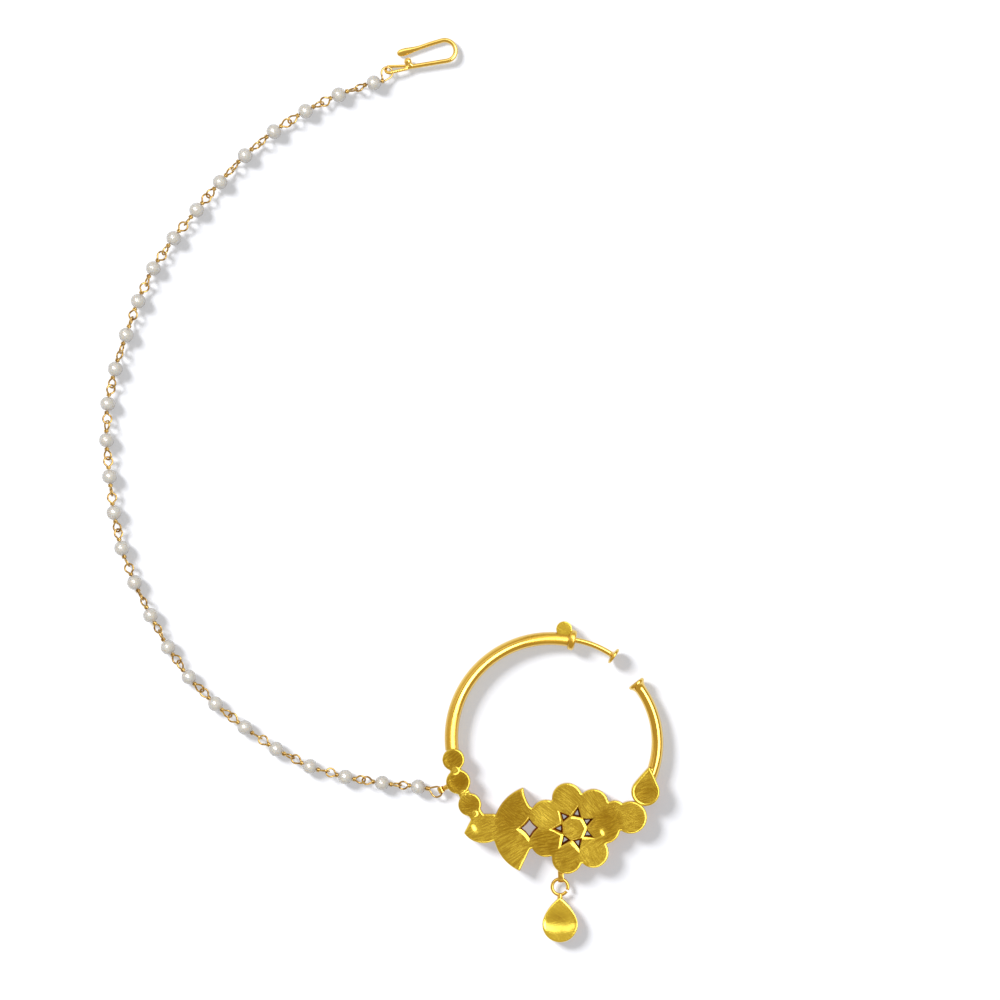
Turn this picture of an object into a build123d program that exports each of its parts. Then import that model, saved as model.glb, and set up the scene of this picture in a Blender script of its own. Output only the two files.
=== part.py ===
from build123d import *
import math
import os

# A nath: a soldered gold nose ring, its lying drop, a pearl chain and a hair hook (millimetres).
# It lies on its front, so the plain back faces up. X and Y follow the surface, +Z is up.
# Until the last step everything is drawn about the middle of the hoop, with the surface at z = 0.

os.makedirs("parts", exist_ok=True)

# ---- hoop: two soldered tube arms with an open stretch for the nostril ----
collar_diameter = 3.7
collar_width, collar_round = 1.1, 0.45
axis_height = collar_diameter / 2  # the collar touches the surface, so it sets the tubes' height
left_arm_centre, left_arm_radius = (0.13, 0.0), 17.84
left_arm_from, left_arm_to = 79.4, 187.0  # degrees about its centre
left_tube_at_collar, left_tube_at_disc = 2.25, 2.35
collar_angle, collar_radius_from_middle = 77.2, 18.02
dot_x, dot_y, dot_diameter, dot_height = 2.5, 19.45, 2.85, 2.6
post_centre = (1.87, 1.22)
post_radius = 16.54
post_from, post_to = 81.5, 54.5
post_diameter = 1.0
pad_diameter, pad_thickness, pad_round = 3.2, 0.5, 0.2
pad_root_flare, pad_root_length = 0.35, 0.5  # the cone of solder between the post and its pad
right_arm_centre = (2.77, -0.85)
right_arm_radius = 16.58
right_arm_from, right_arm_to = 37.4, -27.0
right_tube_at_flange, right_tube_at_pear = 1.85, 2.1
flange_diameter, flange_length, flange_rim, flange_round = 3.2, 0.85, 0.35, 0.21
solder_overlap = 0.05  # how far small soldered pieces reach into each other

# ---- back plate: soldered boxes with plain faces and rounded edges ----
edge_round = 0.35
plate_height = 3.3
bead_height = 3.15
pear_height = 3.4
neck_width, neck_height = 2.1, 2.8
discs = [  # x, y, diameter, from the tube downwards
    (-17.33, -3.90, 4.0),
    (-16.47, -7.90, 4.4),
    (-14.40, -12.00, 4.15),
]
flower_x, flower_y = 4.36, -16.27
petal_count = 7
petal_circle, petal_radius, hub_radius = 5.58, 2.75, 5.6
buds = [  # x, y, diameter, beside the flower
    (11.65, -13.30, 4.2),
    (14.53, -14.29, 5.9),
]
pear_x, pear_y, pear_radius, pear_tip_x, pear_tip_y = 17.19, -9.70, 2.56, 17.86, -5.11
leaf_tail_high, leaf_tail_low = (-14.18, -14.65), (-15.43, -17.10)
leaf_belly, leaf_lower_end = (-12.90, -18.83), (-9.86, -18.43)
leaf_upper_side = [(-7.9, -16.6), (-9.95, -13.63), (-11.93, -13.63)]  # from under the crescent to the tail
leaf_corner = 0.35
leaf_joint, leaf_joint_width = (-12.7, -14.8), 2.5  # where the last disc runs into the leaf
crescent_centre = (-2.12, -16.5)
crescent_radius = 8.1
crescent_top, crescent_bottom = (-4.72, -8.89), (-5.40, -23.96)
crescent_east_side = [(-3.56, -20.05), (-1.2, -19.0), (-1.2, -13.6), (-3.56, -12.31)]  # partly under the flower
crescent_hollow = (-4.42, -10.5)  # a point of the arc cut out under its top horn
diamond_corners, diamond_bulge = [(-3.65, -14.6), (-2.5, -16.15), (-3.65, -18.05), (-5.35, -16.3)], 0.14
star_from_angle, star_tip, star_base, star_half_width = 27.5, 3.78, 2.2, 0.72
hole_bevel, hole_bevel_depth = 0.22, 0.35

# ---- drop on its jump ring ----
drop_x, drop_y, drop_radius, drop_tip_y = 1.84, -33.64, 3.19, -28.69
drop_height = 2.4
drop_neck_diameter, drop_neck_depth, drop_neck_overlap = 0.85, 0.9, 0.1
ring_wire, ring_radius, ring_gap_angle, ring_gap = 0.56, 1.42, -28.0, 0.3
ring_slack = 0.03  # from the middle of the ring's wire to the middle of its eye
drop_eye = (2.0, -25.38, 1.5, 1.0, 1.0)  # x, y, outside, inside, length
drop_strap_reach, drop_strap_low, drop_strap_high = 1.6, 0.65, 1.75  # the bar that holds the eye

# ---- chain: eye-pin links, each with a pearl ----
wire = 0.34
pearl_diameter = 2.6
bore_clearance = 0.05
coil_radius, coil_pitch, first_coil = 0.28, 0.25, 1.5
neck_past_coil = 0.1
loop_radius = 0.78
loop_overlap = 0.48  # how far the loops of two links reach into each other
route = [  # x, y of the pearl there, pearls from it to the next row
    (-31.7, 117.9, 2),
    (-44.0, 112.8, 2),
    (-54.9, 104.8, 2),
    (-63.6, 95.0, 2),
    (-71.4, 84.5, 2),
    (-76.3, 72.5, 2),
    (-79.6, 60.1, 2),
    (-79.3, 47.0, 2),
    (-77.1, 34.1, 2),
    (-71.9, 22.0, 2),
    (-65.0, 10.9, 2),
    (-54.9, 1.8, 2),
    (-43.2, -5.2, 2),
    (-30.2, -8.2, 1),
    (-23.7, -8.9, 0),
]
loop_rolls = [  # degrees out of flat about the chain's run: the loop after each pearl, then the next pearl's
    (45, -80),
    (-15, 55),
    (30, -30),
    (50, -60),
    (62, -62),
    (-42, 12),
    (80, -8),
    (-68, 10),
    (68, -18),
    (22, -82),
    (-74, 50),
    (35, -32),
    (-14, 55),
    (38, -14),
    (76, -8),
    (30, -34),
    (82, 8),
    (-84, 50),
    (40, -80),
    (24, -58),
    (40, -36),
    (-50, 14),
    (84, -6),
    (-74, 16),
    (84, -20),
    (32, -34),
    (-76, 28),
]
ring_end_loop = (0.95, 8)  # radius, roll
ring_end_seat = 0.08  # how far the last loop's round reaches past the middle of its eye
chain_eye = (-19.58, -9.41, 1.2, 0.76, 1.05)  # x, y, outside, inside, length
chain_strap_from, chain_strap_width, chain_strap_low, chain_strap_high = 1.6, 0.95, 0.9, 1.75
hook_end_heading = 13.0
hook_end_loop = (-29.33, 119.69, 1.2, 1.05, 20)  # x, y, z of its middle, radius, roll
pearl_groups = 4  # the pearls are kept in this many nodes along the chain

# ---- hair hook ----
hook_wire = 0.88
hook_tip = (-27.14, 123.25, 0.535)
hook_heading, hook_tilt = 15.2, -8.5  # of the long leg on the surface, and of the bend's plane about it
hook_long_leg, hook_short_leg = 8.18, 7.6
hook_bend_radius, hook_bend_turn = 1.82, 186.0
spoon_width, spoon_length, spoon_back = 1.45, 3.8, 0.4  # the hammered end, and how far it reaches past the tip
hook_eye_middle = (-28.85, 120.3, 1.0)
hook_eye_wire, hook_eye_radius, hook_eye_roll = 0.6, 0.75, 40
hook_eye_overlap = 0.3  # how far the eye's wire starts inside the short leg
hook_curl = ((-25.4, 120.9, 1.0), (-25.6, 122.35, 1.0))  # the wire's other end, turned up beside the leg
hook_curl_diameter, hook_curl_round = 1.2, 0.504


def polar(angle, radius, centre=(0.0, 0.0)):
    a = math.radians(angle)
    return (centre[0] + radius * math.cos(a), centre[1] + radius * math.sin(a))


def across(origin, direction):
    """A plane through the point, square to the direction."""
    return Plane(origin=origin, z_dir=direction)


def rod(start, end, diameter):
    axis = Vector(*end) - Vector(*start)
    return across(start, axis) * Cylinder(diameter / 2, axis.length, align=(Align.CENTER, Align.CENTER, Align.MIN))


def bent_tube(centre, radius, start, end, start_diameter, end_diameter):
    """A round tube along a level arc, of one thickness or tapering."""
    points = [polar(a, radius, centre) + (axis_height,) for a in (start, (start + end) / 2, end)]
    path = ThreePointArc(*[Vector(*p) for p in points])
    first = across(path @ 0, path % 0) * Circle(start_diameter / 2)
    last = across(path @ 1, path % 1) * Circle(end_diameter / 2)
    if start_diameter == end_diameter:
        return sweep(first, path=path)
    return sweep([first, last], path=path, multisection=True)


def lobe(x, y, diameter, height):
    """A round box with a rounded upper edge."""
    body = Pos(x, y) * Cylinder(diameter / 2, height, align=(Align.CENTER, Align.CENTER, Align.MIN))
    return fillet(body.edges().group_by(Axis.Z)[-1], edge_round)


def bar(a, b, width, low, high):
    """A plain block from one point of the plan to another."""
    run = Vector(*b) - Vector(*a)
    middle = (Vector(*a) + Vector(*b)) * 0.5
    turn = math.degrees(math.atan2(run.Y, run.X))
    block = Box(run.length, width, high - low, align=(Align.CENTER, Align.CENTER, Align.MIN))
    return Pos(middle.X, middle.Y, low) * Rot(0, 0, turn) * block


def teardrop(centre, radius, tip, height):
    """A drop-shaped box: a round end, two tangents to the tip, and a rounded upper edge."""
    c, t = Vector(*centre), Vector(*tip)
    reach = (t - c).length
    heading = math.degrees(math.atan2(t.Y - c.Y, t.X - c.X))
    spread = math.degrees(math.acos(radius / reach))
    left, right = polar(heading + spread, radius, centre), polar(heading - spread, radius, centre)
    far = polar(heading + 180, radius, centre)
    outline = Line(tip, left) + ThreePointArc(left, far, right) + Line(right, tip)
    body = extrude(make_face(outline), height)
    return fillet(body.edges().group_by(Axis.Z)[-1], edge_round)


def hollow_eye(x, y, outside, inside, length, height, heading):
    """A short tube lying across the heading, for a ring to pass through."""
    tube = Cylinder(outside / 2, length) - Cylinder(inside / 2, length + 1)
    return Pos(x, y, height) * Rot(0, 0, heading) * Rot(90, 0, 0) * tube


# ---- nose ring, one soldered solid ----
def collar():
    x, y = polar(collar_angle, collar_radius_from_middle)
    ring = Cylinder(collar_diameter / 2, collar_width)
    ring = fillet(ring.edges(), collar_round)
    return Pos(x, y, axis_height) * Rot(0, 0, collar_angle) * Rot(90, 0, 0) * ring


def post_and_pad():
    post = bent_tube(post_centre, post_radius, post_from, post_to, post_diameter, post_diameter)
    x, y = polar(post_to, post_radius, post_centre)
    pad = fillet(Cylinder(pad_diameter / 2, pad_thickness).edges(), pad_round)
    root = Cone(post_diameter / 2 + pad_root_flare, post_diameter / 2, pad_root_length)
    root = Pos(0, 0, (pad_thickness + pad_root_length) / 2 - solder_overlap) * root
    end = Rot(0, 0, post_to) * Rot(90, 0, 0) * (pad + root)
    return post + Pos(x, y, axis_height) * end


def flange():
    """The trumpet mouth of the right arm, facing the pad."""
    x, y = polar(right_arm_from, right_arm_radius, right_arm_centre)
    tube, rim = right_tube_at_flange / 2, flange_diameter / 2
    flare = Cone(tube, rim, flange_length - flange_rim, align=(Align.CENTER, Align.CENTER, Align.MIN))
    plate = Pos(0, 0, flange_length - flange_rim)
    plate = plate * Cylinder(rim, flange_rim, align=(Align.CENTER, Align.CENTER, Align.MIN))
    mouth = flare + plate
    mouth = fillet(mouth.edges().group_by(Axis.Z)[-1], flange_round)
    return Pos(x, y, axis_height) * Rot(0, 0, right_arm_from) * Rot(-90, 0, 0) * mouth


def leaf():
    outline = Line(leaf_tail_high, leaf_tail_low) + ThreePointArc(leaf_tail_low, leaf_belly, leaf_lower_end)
    outline += Polyline(leaf_lower_end, *leaf_upper_side, leaf_tail_high)
    face = make_face(outline)
    body = extrude(fillet(face.vertices(), leaf_corner), bead_height)
    return fillet(body.edges().group_by(Axis.Z)[-1], edge_round)


def crescent():
    west = (crescent_centre[0] - crescent_radius, crescent_centre[1])
    outline = ThreePointArc(crescent_top, west, crescent_bottom)
    outline += Polyline(crescent_bottom, *crescent_east_side)
    outline += ThreePointArc(crescent_east_side[-1], crescent_hollow, crescent_top)
    body = extrude(make_face(outline), plate_height)
    return fillet(body.edges().group_by(Axis.Z)[-1], edge_round)


def flower():
    body = lobe(flower_x, flower_y, 2 * hub_radius, plate_height)
    for k in range(petal_count):
        x, y = polar(k * 360 / petal_count, petal_circle, (flower_x, flower_y))
        body += lobe(x, y, 2 * petal_radius, plate_height)
    return body


def bevelled_hole(outline_points, bulge):
    """A cutter through the plate with inward curving sides, wider at the plate's face."""
    count = len(outline_points)
    middle = Vector(sum(p[0] for p in outline_points) / count, sum(p[1] for p in outline_points) / count)
    outline = Curve()
    for k in range(count):
        a, b = Vector(*outline_points[k]), Vector(*outline_points[(k + 1) % count])
        side = (a + b) * 0.5
        inwards = (middle - side).normalized()
        if bulge:
            outline += ThreePointArc(a, side + inwards * bulge, b)
        else:
            outline += Line(a, b)
    face = make_face(outline)
    through = Pos(0, 0, -1) * extrude(face, plate_height + 2)
    slope = math.degrees(math.atan2(hole_bevel, hole_bevel_depth))
    mouth = extrude(Pos(0, 0, plate_height - hole_bevel_depth) * face, hole_bevel_depth + 0.01, taper=-slope)
    return through + mouth


def diamond_hole():
    return bevelled_hole(diamond_corners, diamond_bulge)


def star_holes():
    cutters = []
    for k in range(petal_count):
        turn = star_from_angle + k * 360 / petal_count
        spread = math.degrees(math.atan2(star_half_width, star_base))
        base = math.hypot(star_base, star_half_width)
        corners = [polar(turn, star_tip), polar(turn + spread, base), polar(turn - spread, base)]
        points = [(flower_x + x, flower_y + y) for x, y in corners]
        cutters.append(bevelled_hole(points, 0))
    return cutters


def nose_ring():
    body = flower() + crescent() + leaf()
    for x, y, diameter in discs:
        body += lobe(x, y, diameter, bead_height)
    for upper, lower in zip(discs, discs[1:]):
        body += bar(upper[:2], lower[:2], neck_width, 0, neck_height)
    body += bar(discs[-1][:2], leaf_joint, leaf_joint_width, 0, neck_height)
    for x, y, diameter in buds:
        body += lobe(x, y, diameter, bead_height)
    body += teardrop((pear_x, pear_y), pear_radius, (pear_tip_x, pear_tip_y), pear_height)
    body -= diamond_hole()
    for cutter in star_holes():
        body -= cutter
    body += bent_tube(
        left_arm_centre, left_arm_radius, left_arm_from, left_arm_to, left_tube_at_collar, left_tube_at_disc
    )
    body += collar()
    body += lobe(dot_x, dot_y, dot_diameter, dot_height)
    body += post_and_pad()
    body += bent_tube(
        right_arm_centre, right_arm_radius, right_arm_from, right_arm_to, right_tube_at_flange, right_tube_at_pear
    )
    body += flange()
    x, y, outside, inside, length = drop_eye
    body += hollow_eye(x, y, outside, inside, length, drop_height / 2, 90)
    strap_top, strap_foot = (x, y + drop_strap_reach), (x, y + inside / 2 + solder_overlap)
    body += bar(strap_top, strap_foot, length, drop_strap_low, drop_strap_high)
    x, y, outside, inside, length = chain_eye
    disc_x, disc_y, _ = discs[1]
    heading = math.degrees(math.atan2(y - disc_y, x - disc_x))
    reach = math.hypot(y - disc_y, x - disc_x) - inside / 2 - solder_overlap
    strap = [polar(heading, away, (disc_x, disc_y)) for away in (chain_strap_from, reach)]
    body += hollow_eye(x, y, outside, inside, length, pearl_diameter / 2, heading)
    body += bar(*strap, chain_strap_width, chain_strap_low, chain_strap_high)
    return body


# ---- drop soldered to its open jump ring ----
def drop():
    ring_y = drop_eye[1] - ring_radius + ring_slack
    half_gap = math.degrees(ring_gap / 2 / ring_radius)
    section = Plane.XZ * Pos(ring_radius, 0) * Circle(ring_wire / 2)
    ring = revolve(section, axis=Axis.Z, revolution_arc=360 - 2 * half_gap)
    ring = Pos(drop_x, ring_y, drop_height / 2) * Rot(0, 0, ring_gap_angle + half_gap) * ring
    body = teardrop((drop_x, drop_y), drop_radius, (drop_x, drop_tip_y), drop_height)
    foot = ring_y - ring_radius
    root = (drop_x, drop_tip_y - drop_neck_depth, drop_height / 2)
    neck = rod(root, (drop_x, foot + drop_neck_overlap, drop_height / 2), drop_neck_diameter)
    return body + neck + ring


# ---- chain ----
def pearl_places():
    """The pearls' centres: evenly along the curve between the rows of the route."""
    curve = Spline(*[Vector(x, y) for x, y, _ in route])
    marks = [curve.param_at_point(Vector(x, y)) for x, y, _ in route]
    places = []
    for (_, _, count), here, there in zip(route, marks, marks[1:]):
        places += [curve.position_at(here + (there - here) * k / count) for k in range(count)]
    places.append(Vector(*route[-1][:2]))
    return [Vector(p.X, p.Y, pearl_diameter / 2) for p in places]


def wire_loop(neck, middle, radius, roll, thickness):
    """A teardrop loop of wire, whose two ends lie side by side at the neck."""
    along = middle - neck
    reach = along.length
    level = Plane(origin=neck, x_dir=along, z_dir=along.cross(Vector(0, 0, 1)).cross(along))
    beside = thickness * 0.53
    lean = math.asin(radius / math.hypot(reach, beside)) - math.atan2(beside, reach)
    touch_x, touch_y = polar(90 + math.degrees(lean), radius, (reach, 0))
    path = Line((0, beside), (touch_x, touch_y))
    path += ThreePointArc((touch_x, touch_y), (reach + radius, 0), (touch_x, -touch_y))
    path += Line((touch_x, -touch_y), (0, -beside))
    path = level.location * Rot(roll, 0, 0) * path
    return sweep(across(path @ 0, path % 0) * Circle(thickness / 2), path=path)


def half_pin(coils):
    """The wire from the pearl's centre to the last coil, with the coils wound round it, along X."""
    half = wire / 2
    ridge, valley = coil_radius + half, coil_radius + math.sqrt(half**2 - (coil_pitch / 2) ** 2)
    here = (first_coil - half, coil_radius)
    outline = Polyline((0, 0), (0, half), (here[0], half), here)
    for k in range(coils):
        x = first_coil + k * coil_pitch
        end = (x + half, coil_radius) if k == coils - 1 else (x + coil_pitch / 2, valley)
        outline += ThreePointArc(here, (x, ridge), end)
        here = end
    outline += Polyline(here, (here[0], 0), (0, 0))
    return revolve(make_face(outline), axis=Axis.X)


def neck(pearl, heading, coils):
    """Where the loop leaves the last coil."""
    reach = first_coil + (coils - 1) * coil_pitch + neck_past_coil
    return pearl + Vector(*polar(heading, reach))


def heading_of(a, b):
    return math.degrees(math.atan2(b.Y - a.Y, b.X - a.X))


def link_plans(pearls):
    """For each pearl, the heading of its pin, and coils, middle, radius and roll of its two loops."""
    x, y, z, radius, roll = hook_end_loop
    ends = [[(2, Vector(x, y, z), radius, roll)]]
    for (a, b), (roll_after, roll_before) in zip(zip(pearls, pearls[1:]), loop_rolls):
        ahead = (b - a).normalized()
        reach = ((b - a).length + loop_overlap) / 2 - loop_radius
        ends[-1].append((2, a + ahead * reach, loop_radius, roll_after))
        ends.append([(2, b - ahead * reach, loop_radius, -roll_before)])
    radius, roll = ring_end_loop
    pull = heading_of(Vector(*discs[1][:2]), Vector(*chain_eye[:2]))
    middle = Vector(*chain_eye[:2], pearl_diameter / 2) + Vector(*polar(pull, radius - ring_end_seat))
    ends[-1].append((3, middle, radius, roll))
    behind = [None] + pearls[:-1]
    ahead = pearls[1:] + [middle]
    headings = [hook_end_heading] + [heading_of(b, a) for a, b in zip(behind[1:], ahead[1:])]
    return [(heading, towards_hook, towards_ring) for heading, (towards_hook, towards_ring) in zip(headings, ends)]


def link(pearl, heading, towards_hook, towards_ring):
    """One piece of wire: a loop, coils, the pin through the pearl, coils and a loop."""
    body = Part()
    for turn, (coils, middle, radius, roll) in ((0, towards_hook), (180, towards_ring)):
        body += Pos(*pearl) * Rot(0, 0, heading + turn) * half_pin(coils)
        body += wire_loop(neck(pearl, heading + turn, coils), middle, radius, roll, wire)
    return body


def bored_pearl(pearl, heading):
    """A pearl with a hole for its pin."""
    hole = wire / 2 + bore_clearance
    mouth = math.sqrt((pearl_diameter / 2) ** 2 - hole**2)
    profile = ThreePointArc((-mouth, hole), (0, pearl_diameter / 2), (mouth, hole)) + Line((mouth, hole), (-mouth, hole))
    return Pos(*pearl) * Rot(0, 0, heading) * revolve(make_face(profile), axis=Axis.X)


# ---- hair hook ----
def spoon():
    """The hammered end of the hook: a long oval with flat faces."""
    half_length, half_width = spoon_length / 2, spoon_width / 2
    oval = Ellipse(half_length, half_width) & Pos(0, half_width) * Rectangle(2 * half_length, 2 * half_width)
    return revolve(oval, axis=Axis.X) & Box(spoon_length, spoon_width, hook_wire + 0.02)


def hair_hook():
    middle = (hook_long_leg, -hook_bend_radius)
    turned = 90 - hook_bend_turn
    out, far, back = [polar(a, hook_bend_radius, middle) for a in (90, 90 - hook_bend_turn / 2, turned)]
    root = polar(turned - 90, hook_short_leg, back)
    path = Line((spoon_length / 2 - spoon_back, 0), out) + ThreePointArc(out, far, back) + Line(back, root)
    plane = Pos(*hook_tip) * Rot(0, 0, hook_heading) * Rot(hook_tilt, 0, 0)
    path = plane * path
    body = sweep(across(path @ 0, path % 0) * Circle(hook_wire / 2), path=path)
    body += plane * Pos(spoon_length / 2 - spoon_back, 0) * spoon()
    eye_neck = (path @ 1) - (path % 1) * hook_eye_overlap
    body += wire_loop(eye_neck, Vector(*hook_eye_middle), hook_eye_radius, hook_eye_roll, hook_eye_wire)
    low, high = hook_curl
    curl = rod(low, high, hook_curl_diameter)
    return body + fillet(curl.edges().sort_by_distance(high)[0], hook_curl_round)


# ---- the whole, moved so that the origin is under the middle of its box ----
def build():
    pearls = pearl_places()
    nodes = {"nose_ring": nose_ring(), "drop": drop(), "hair_hook": hair_hook()}
    bored = []
    for k, (pearl, (heading, towards_hook, towards_ring)) in enumerate(zip(pearls, link_plans(pearls))):
        nodes[f"link_{k + 1:02d}"] = link(pearl, heading, towards_hook, towards_ring)
        bored.append(bored_pearl(pearl, heading))
    size = len(bored) // pearl_groups
    for k in range(pearl_groups):
        nodes[f"pearls_{k + 1}"] = Compound(bored[k * size : (k + 1) * size])
    return nodes


nodes = build()
boxes = [shape.bounding_box() for shape in nodes.values()]
low = Vector(*[min(tuple(box.min)[k] for box in boxes) for k in range(3)])
high = Vector(*[max(tuple(box.max)[k] for box in boxes) for k in range(3)])
shift = Vector(-(low.X + high.X) / 2, -(low.Y + high.Y) / 2, -low.Z)
for name, shape in nodes.items():
    placed = Pos(*shift) * shape
    export_step(placed, f"parts/{name}.step")
    print(name, len(placed.solids()), "solid(s), valid", placed.is_valid, "volume", round(placed.volume, 2))
print("size", high - low, "moved by", shift)
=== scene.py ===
# %% Start
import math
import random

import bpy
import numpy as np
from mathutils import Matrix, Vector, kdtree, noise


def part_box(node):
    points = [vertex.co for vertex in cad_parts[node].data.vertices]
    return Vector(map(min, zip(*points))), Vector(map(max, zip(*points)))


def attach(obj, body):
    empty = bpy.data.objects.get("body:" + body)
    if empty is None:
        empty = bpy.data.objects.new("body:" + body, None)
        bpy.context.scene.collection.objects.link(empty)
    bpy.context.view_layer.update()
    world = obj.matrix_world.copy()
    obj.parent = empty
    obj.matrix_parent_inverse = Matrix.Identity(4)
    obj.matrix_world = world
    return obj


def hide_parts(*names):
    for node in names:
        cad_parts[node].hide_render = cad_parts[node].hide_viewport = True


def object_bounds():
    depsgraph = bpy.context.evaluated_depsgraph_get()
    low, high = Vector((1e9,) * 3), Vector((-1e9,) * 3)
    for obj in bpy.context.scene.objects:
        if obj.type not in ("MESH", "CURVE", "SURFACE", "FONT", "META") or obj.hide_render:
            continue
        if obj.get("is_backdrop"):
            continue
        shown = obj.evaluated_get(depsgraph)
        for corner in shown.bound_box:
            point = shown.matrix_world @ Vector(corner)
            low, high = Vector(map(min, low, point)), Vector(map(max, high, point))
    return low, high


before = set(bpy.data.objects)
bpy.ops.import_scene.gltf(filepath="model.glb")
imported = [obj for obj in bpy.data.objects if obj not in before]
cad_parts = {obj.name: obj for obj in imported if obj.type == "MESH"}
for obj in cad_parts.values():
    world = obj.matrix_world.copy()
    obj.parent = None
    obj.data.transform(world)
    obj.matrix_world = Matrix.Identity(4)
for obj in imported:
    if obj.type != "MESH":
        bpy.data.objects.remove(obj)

# %% [markdown]
# # A nath, its pearl chain and its hair hook
#
# A nath is a large nose ring. This one lies on its front, so the plain soldered back of its flower plate faces up,
# with a string of small pearls on wire links running from the plate to a hook for the hair.
# Everything is drawn in millimetres about the middle of the hoop, as on a bench drawing, and each finished piece is
# then brought into the frame's metres in one step, so the numbers here are the numbers a goldsmith would measure.

MM = 0.001
first_low, first_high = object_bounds()
ring_low, ring_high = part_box("nose_ring")
RIGHT_REACH, LOWER_REACH = 20.35, 26.13  # mm from the hoop's middle to the plate's right and to the drop's eye
HOOP = Vector((ring_high.x - RIGHT_REACH * MM, ring_low.y + LOWER_REACH * MM, 0))
random.seed(7)
print("hoop middle", [round(v, 5) for v in HOOP], "whole box", [round(v, 4) for v in first_high - first_low])

# %% [markdown]
# ## Bench helpers
#
# Blender's operators act on whatever is selected, and the imported nodes come in selected, so each helper starts by
# clearing the selection. A rough piece is built from primitives, joined, and remeshed with small voxels, which melts
# the parts together as solder does. Its surface is then hammered by moving points with a rule in plain numbers.


# %% Choosing, joining and melting
def clear():
    """Nothing selected, object mode."""
    if bpy.context.object and bpy.context.object.mode != "OBJECT":
        bpy.ops.object.mode_set(mode="OBJECT")
    bpy.ops.object.select_all(action="DESELECT")


def choose(*objs):
    clear()
    for obj in objs:
        obj.select_set(True)
    bpy.context.view_layer.objects.active = objs[0]


def join(*objs):
    choose(*objs)
    bpy.ops.object.join()
    return bpy.context.object


def modify(obj, kind, **settings):
    """Adds one modifier and applies it."""
    choose(obj)
    step = obj.modifiers.new(kind.lower(), kind)
    for name, value in settings.items():
        setattr(step, name, value)
    bpy.ops.object.modifier_apply(modifier=step.name)
    return obj


def melt(obj, voxel, soften):
    """Remeshes joined parts into one skin and softens the joints."""
    modify(obj, "REMESH", mode="VOXEL", voxel_size=voxel, adaptivity=0.0)
    return modify(obj, "SMOOTH", factor=0.5, iterations=soften)


def apply_place():
    """Moves the place, turn and size of the chosen object into its mesh."""
    bpy.ops.object.transform_apply(location=True, rotation=True, scale=True)


print("helpers for whole objects ready")


# %% Working in edit mode
def edit_all():
    """Edit mode, with everything selected."""
    bpy.ops.object.mode_set(mode="EDIT")
    bpy.ops.mesh.select_all(action="SELECT")


def pull_up(height):
    """Extrudes what is selected upwards."""
    bpy.ops.mesh.extrude_region_move(TRANSFORM_OT_translate={"value": (0, 0, height)})


def widen(scale, centre):
    """Scales the plan of what is selected about a point."""
    bpy.ops.transform.resize(value=(scale, scale, 1), center_override=centre)


def close_up():
    """All faces turned outwards, and object mode."""
    bpy.ops.mesh.select_all(action="SELECT")
    bpy.ops.mesh.normals_make_consistent(inside=False)
    bpy.ops.object.mode_set(mode="OBJECT")


print("helpers for edit mode ready")


# %% Moving points by rules
def points_of(obj):
    out = np.empty(len(obj.data.vertices) * 3)
    obj.data.vertices.foreach_get("co", out)
    return out.reshape(-1, 3)


def put_points(obj, points):
    obj.data.vertices.foreach_set("co", points.ravel())
    obj.data.update()


def hammer(obj, rule):
    """Moves the points of a piece by a rule that takes and gives an array of them."""
    put_points(obj, rule(points_of(obj)))


def fade(x, start, end):
    """0 before start, 1 after end, smooth between them."""
    t = np.clip((x - start) / (end - start), 0, 1)
    return t * t * (3 - 2 * t)


def rub_and_paint_light(obj, rule):
    """Stores for the gold shader how much paler (above 0) or darker and duller (below 0) each point is, from rubbing
    and from painted highlight and shade.
    """
    layer = obj.data.attributes.new("wear_and_light", "FLOAT", "POINT")
    layer.data.foreach_set("value", np.asarray(rule(points_of(obj)), dtype=np.float32))


def dimples(points, size, seed):
    """Soft unevenness between -1 and 1 over the plan."""
    shift = Vector((seed * 13.7, seed * 7.1, seed * 3.3))
    return np.array([noise.noise(Vector(p) / size + shift) for p in points])


def polar(angle, radius, centre=(0.0, 0.0)):
    a = math.radians(angle)
    return (centre[0] + radius * math.cos(a), centre[1] + radius * math.sin(a))


print("helpers for points ready")

# %% [markdown]
# ## Bringing a piece into the frame
#
# A finished piece has its object at the origin, unturned and unscaled, with its place held in its mesh. So the scale
# from millimetres and the move to the hoop's place are both applied to the mesh.


# %% Bringing a piece into the frame
def give_finish(obj, *materials):
    """The materials of a piece, in their order."""
    obj.data.materials.clear()
    for material in materials:
        obj.data.materials.append(material)
    return obj


def settle(obj, name, nodes, smooth_angle=60):
    choose(obj)
    obj.name = obj.data.name = name
    apply_place()
    obj.scale = (MM, MM, MM)
    obj.location = HOOP
    apply_place()
    bpy.ops.object.shade_smooth_by_angle(angle=math.radians(smooth_angle))
    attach(obj, "root")
    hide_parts(*nodes)
    print(name, len(obj.data.polygons), "faces")


# %% [markdown]
# ## Wiring a shader by hand
#
# A shader is a net of small nodes. Each helper here adds one node, gives its sockets numbers, colours or the outputs
# of other nodes, and hands back its output, so that a material reads as a short list of steps.


# %% Nodes and their sockets
def give(tree, source, socket):
    """Links an output to a socket, or sets a plain value on it."""
    if hasattr(source, "links"):
        tree.links.new(source, socket)
    else:
        socket.default_value = source


def dress(tree, made, **values):
    """Gives these values or outputs to the sockets and settings of a node."""
    for name, value in values.items():
        label = name.replace("_", " ")
        if label in made.inputs:
            give(tree, value, made.inputs[label])
        else:
            setattr(made, name, value)
    return made


def node(tree, kind, **values):
    return dress(tree, tree.nodes.new(kind), **values)


def fill_in(tree, made, sources):
    """Gives sources to sockets by their numbers."""
    for k, source in sources.items():
        give(tree, source, made.inputs[k])


print("socket helpers ready")


# %% Mixing, mapping and maths
def mix_colours(tree, factor, a, b):
    made = node(tree, "ShaderNodeMix", data_type="RGBA")
    fill_in(tree, made, {0: factor, 6: a, 7: b})
    return made.outputs[2]


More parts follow.
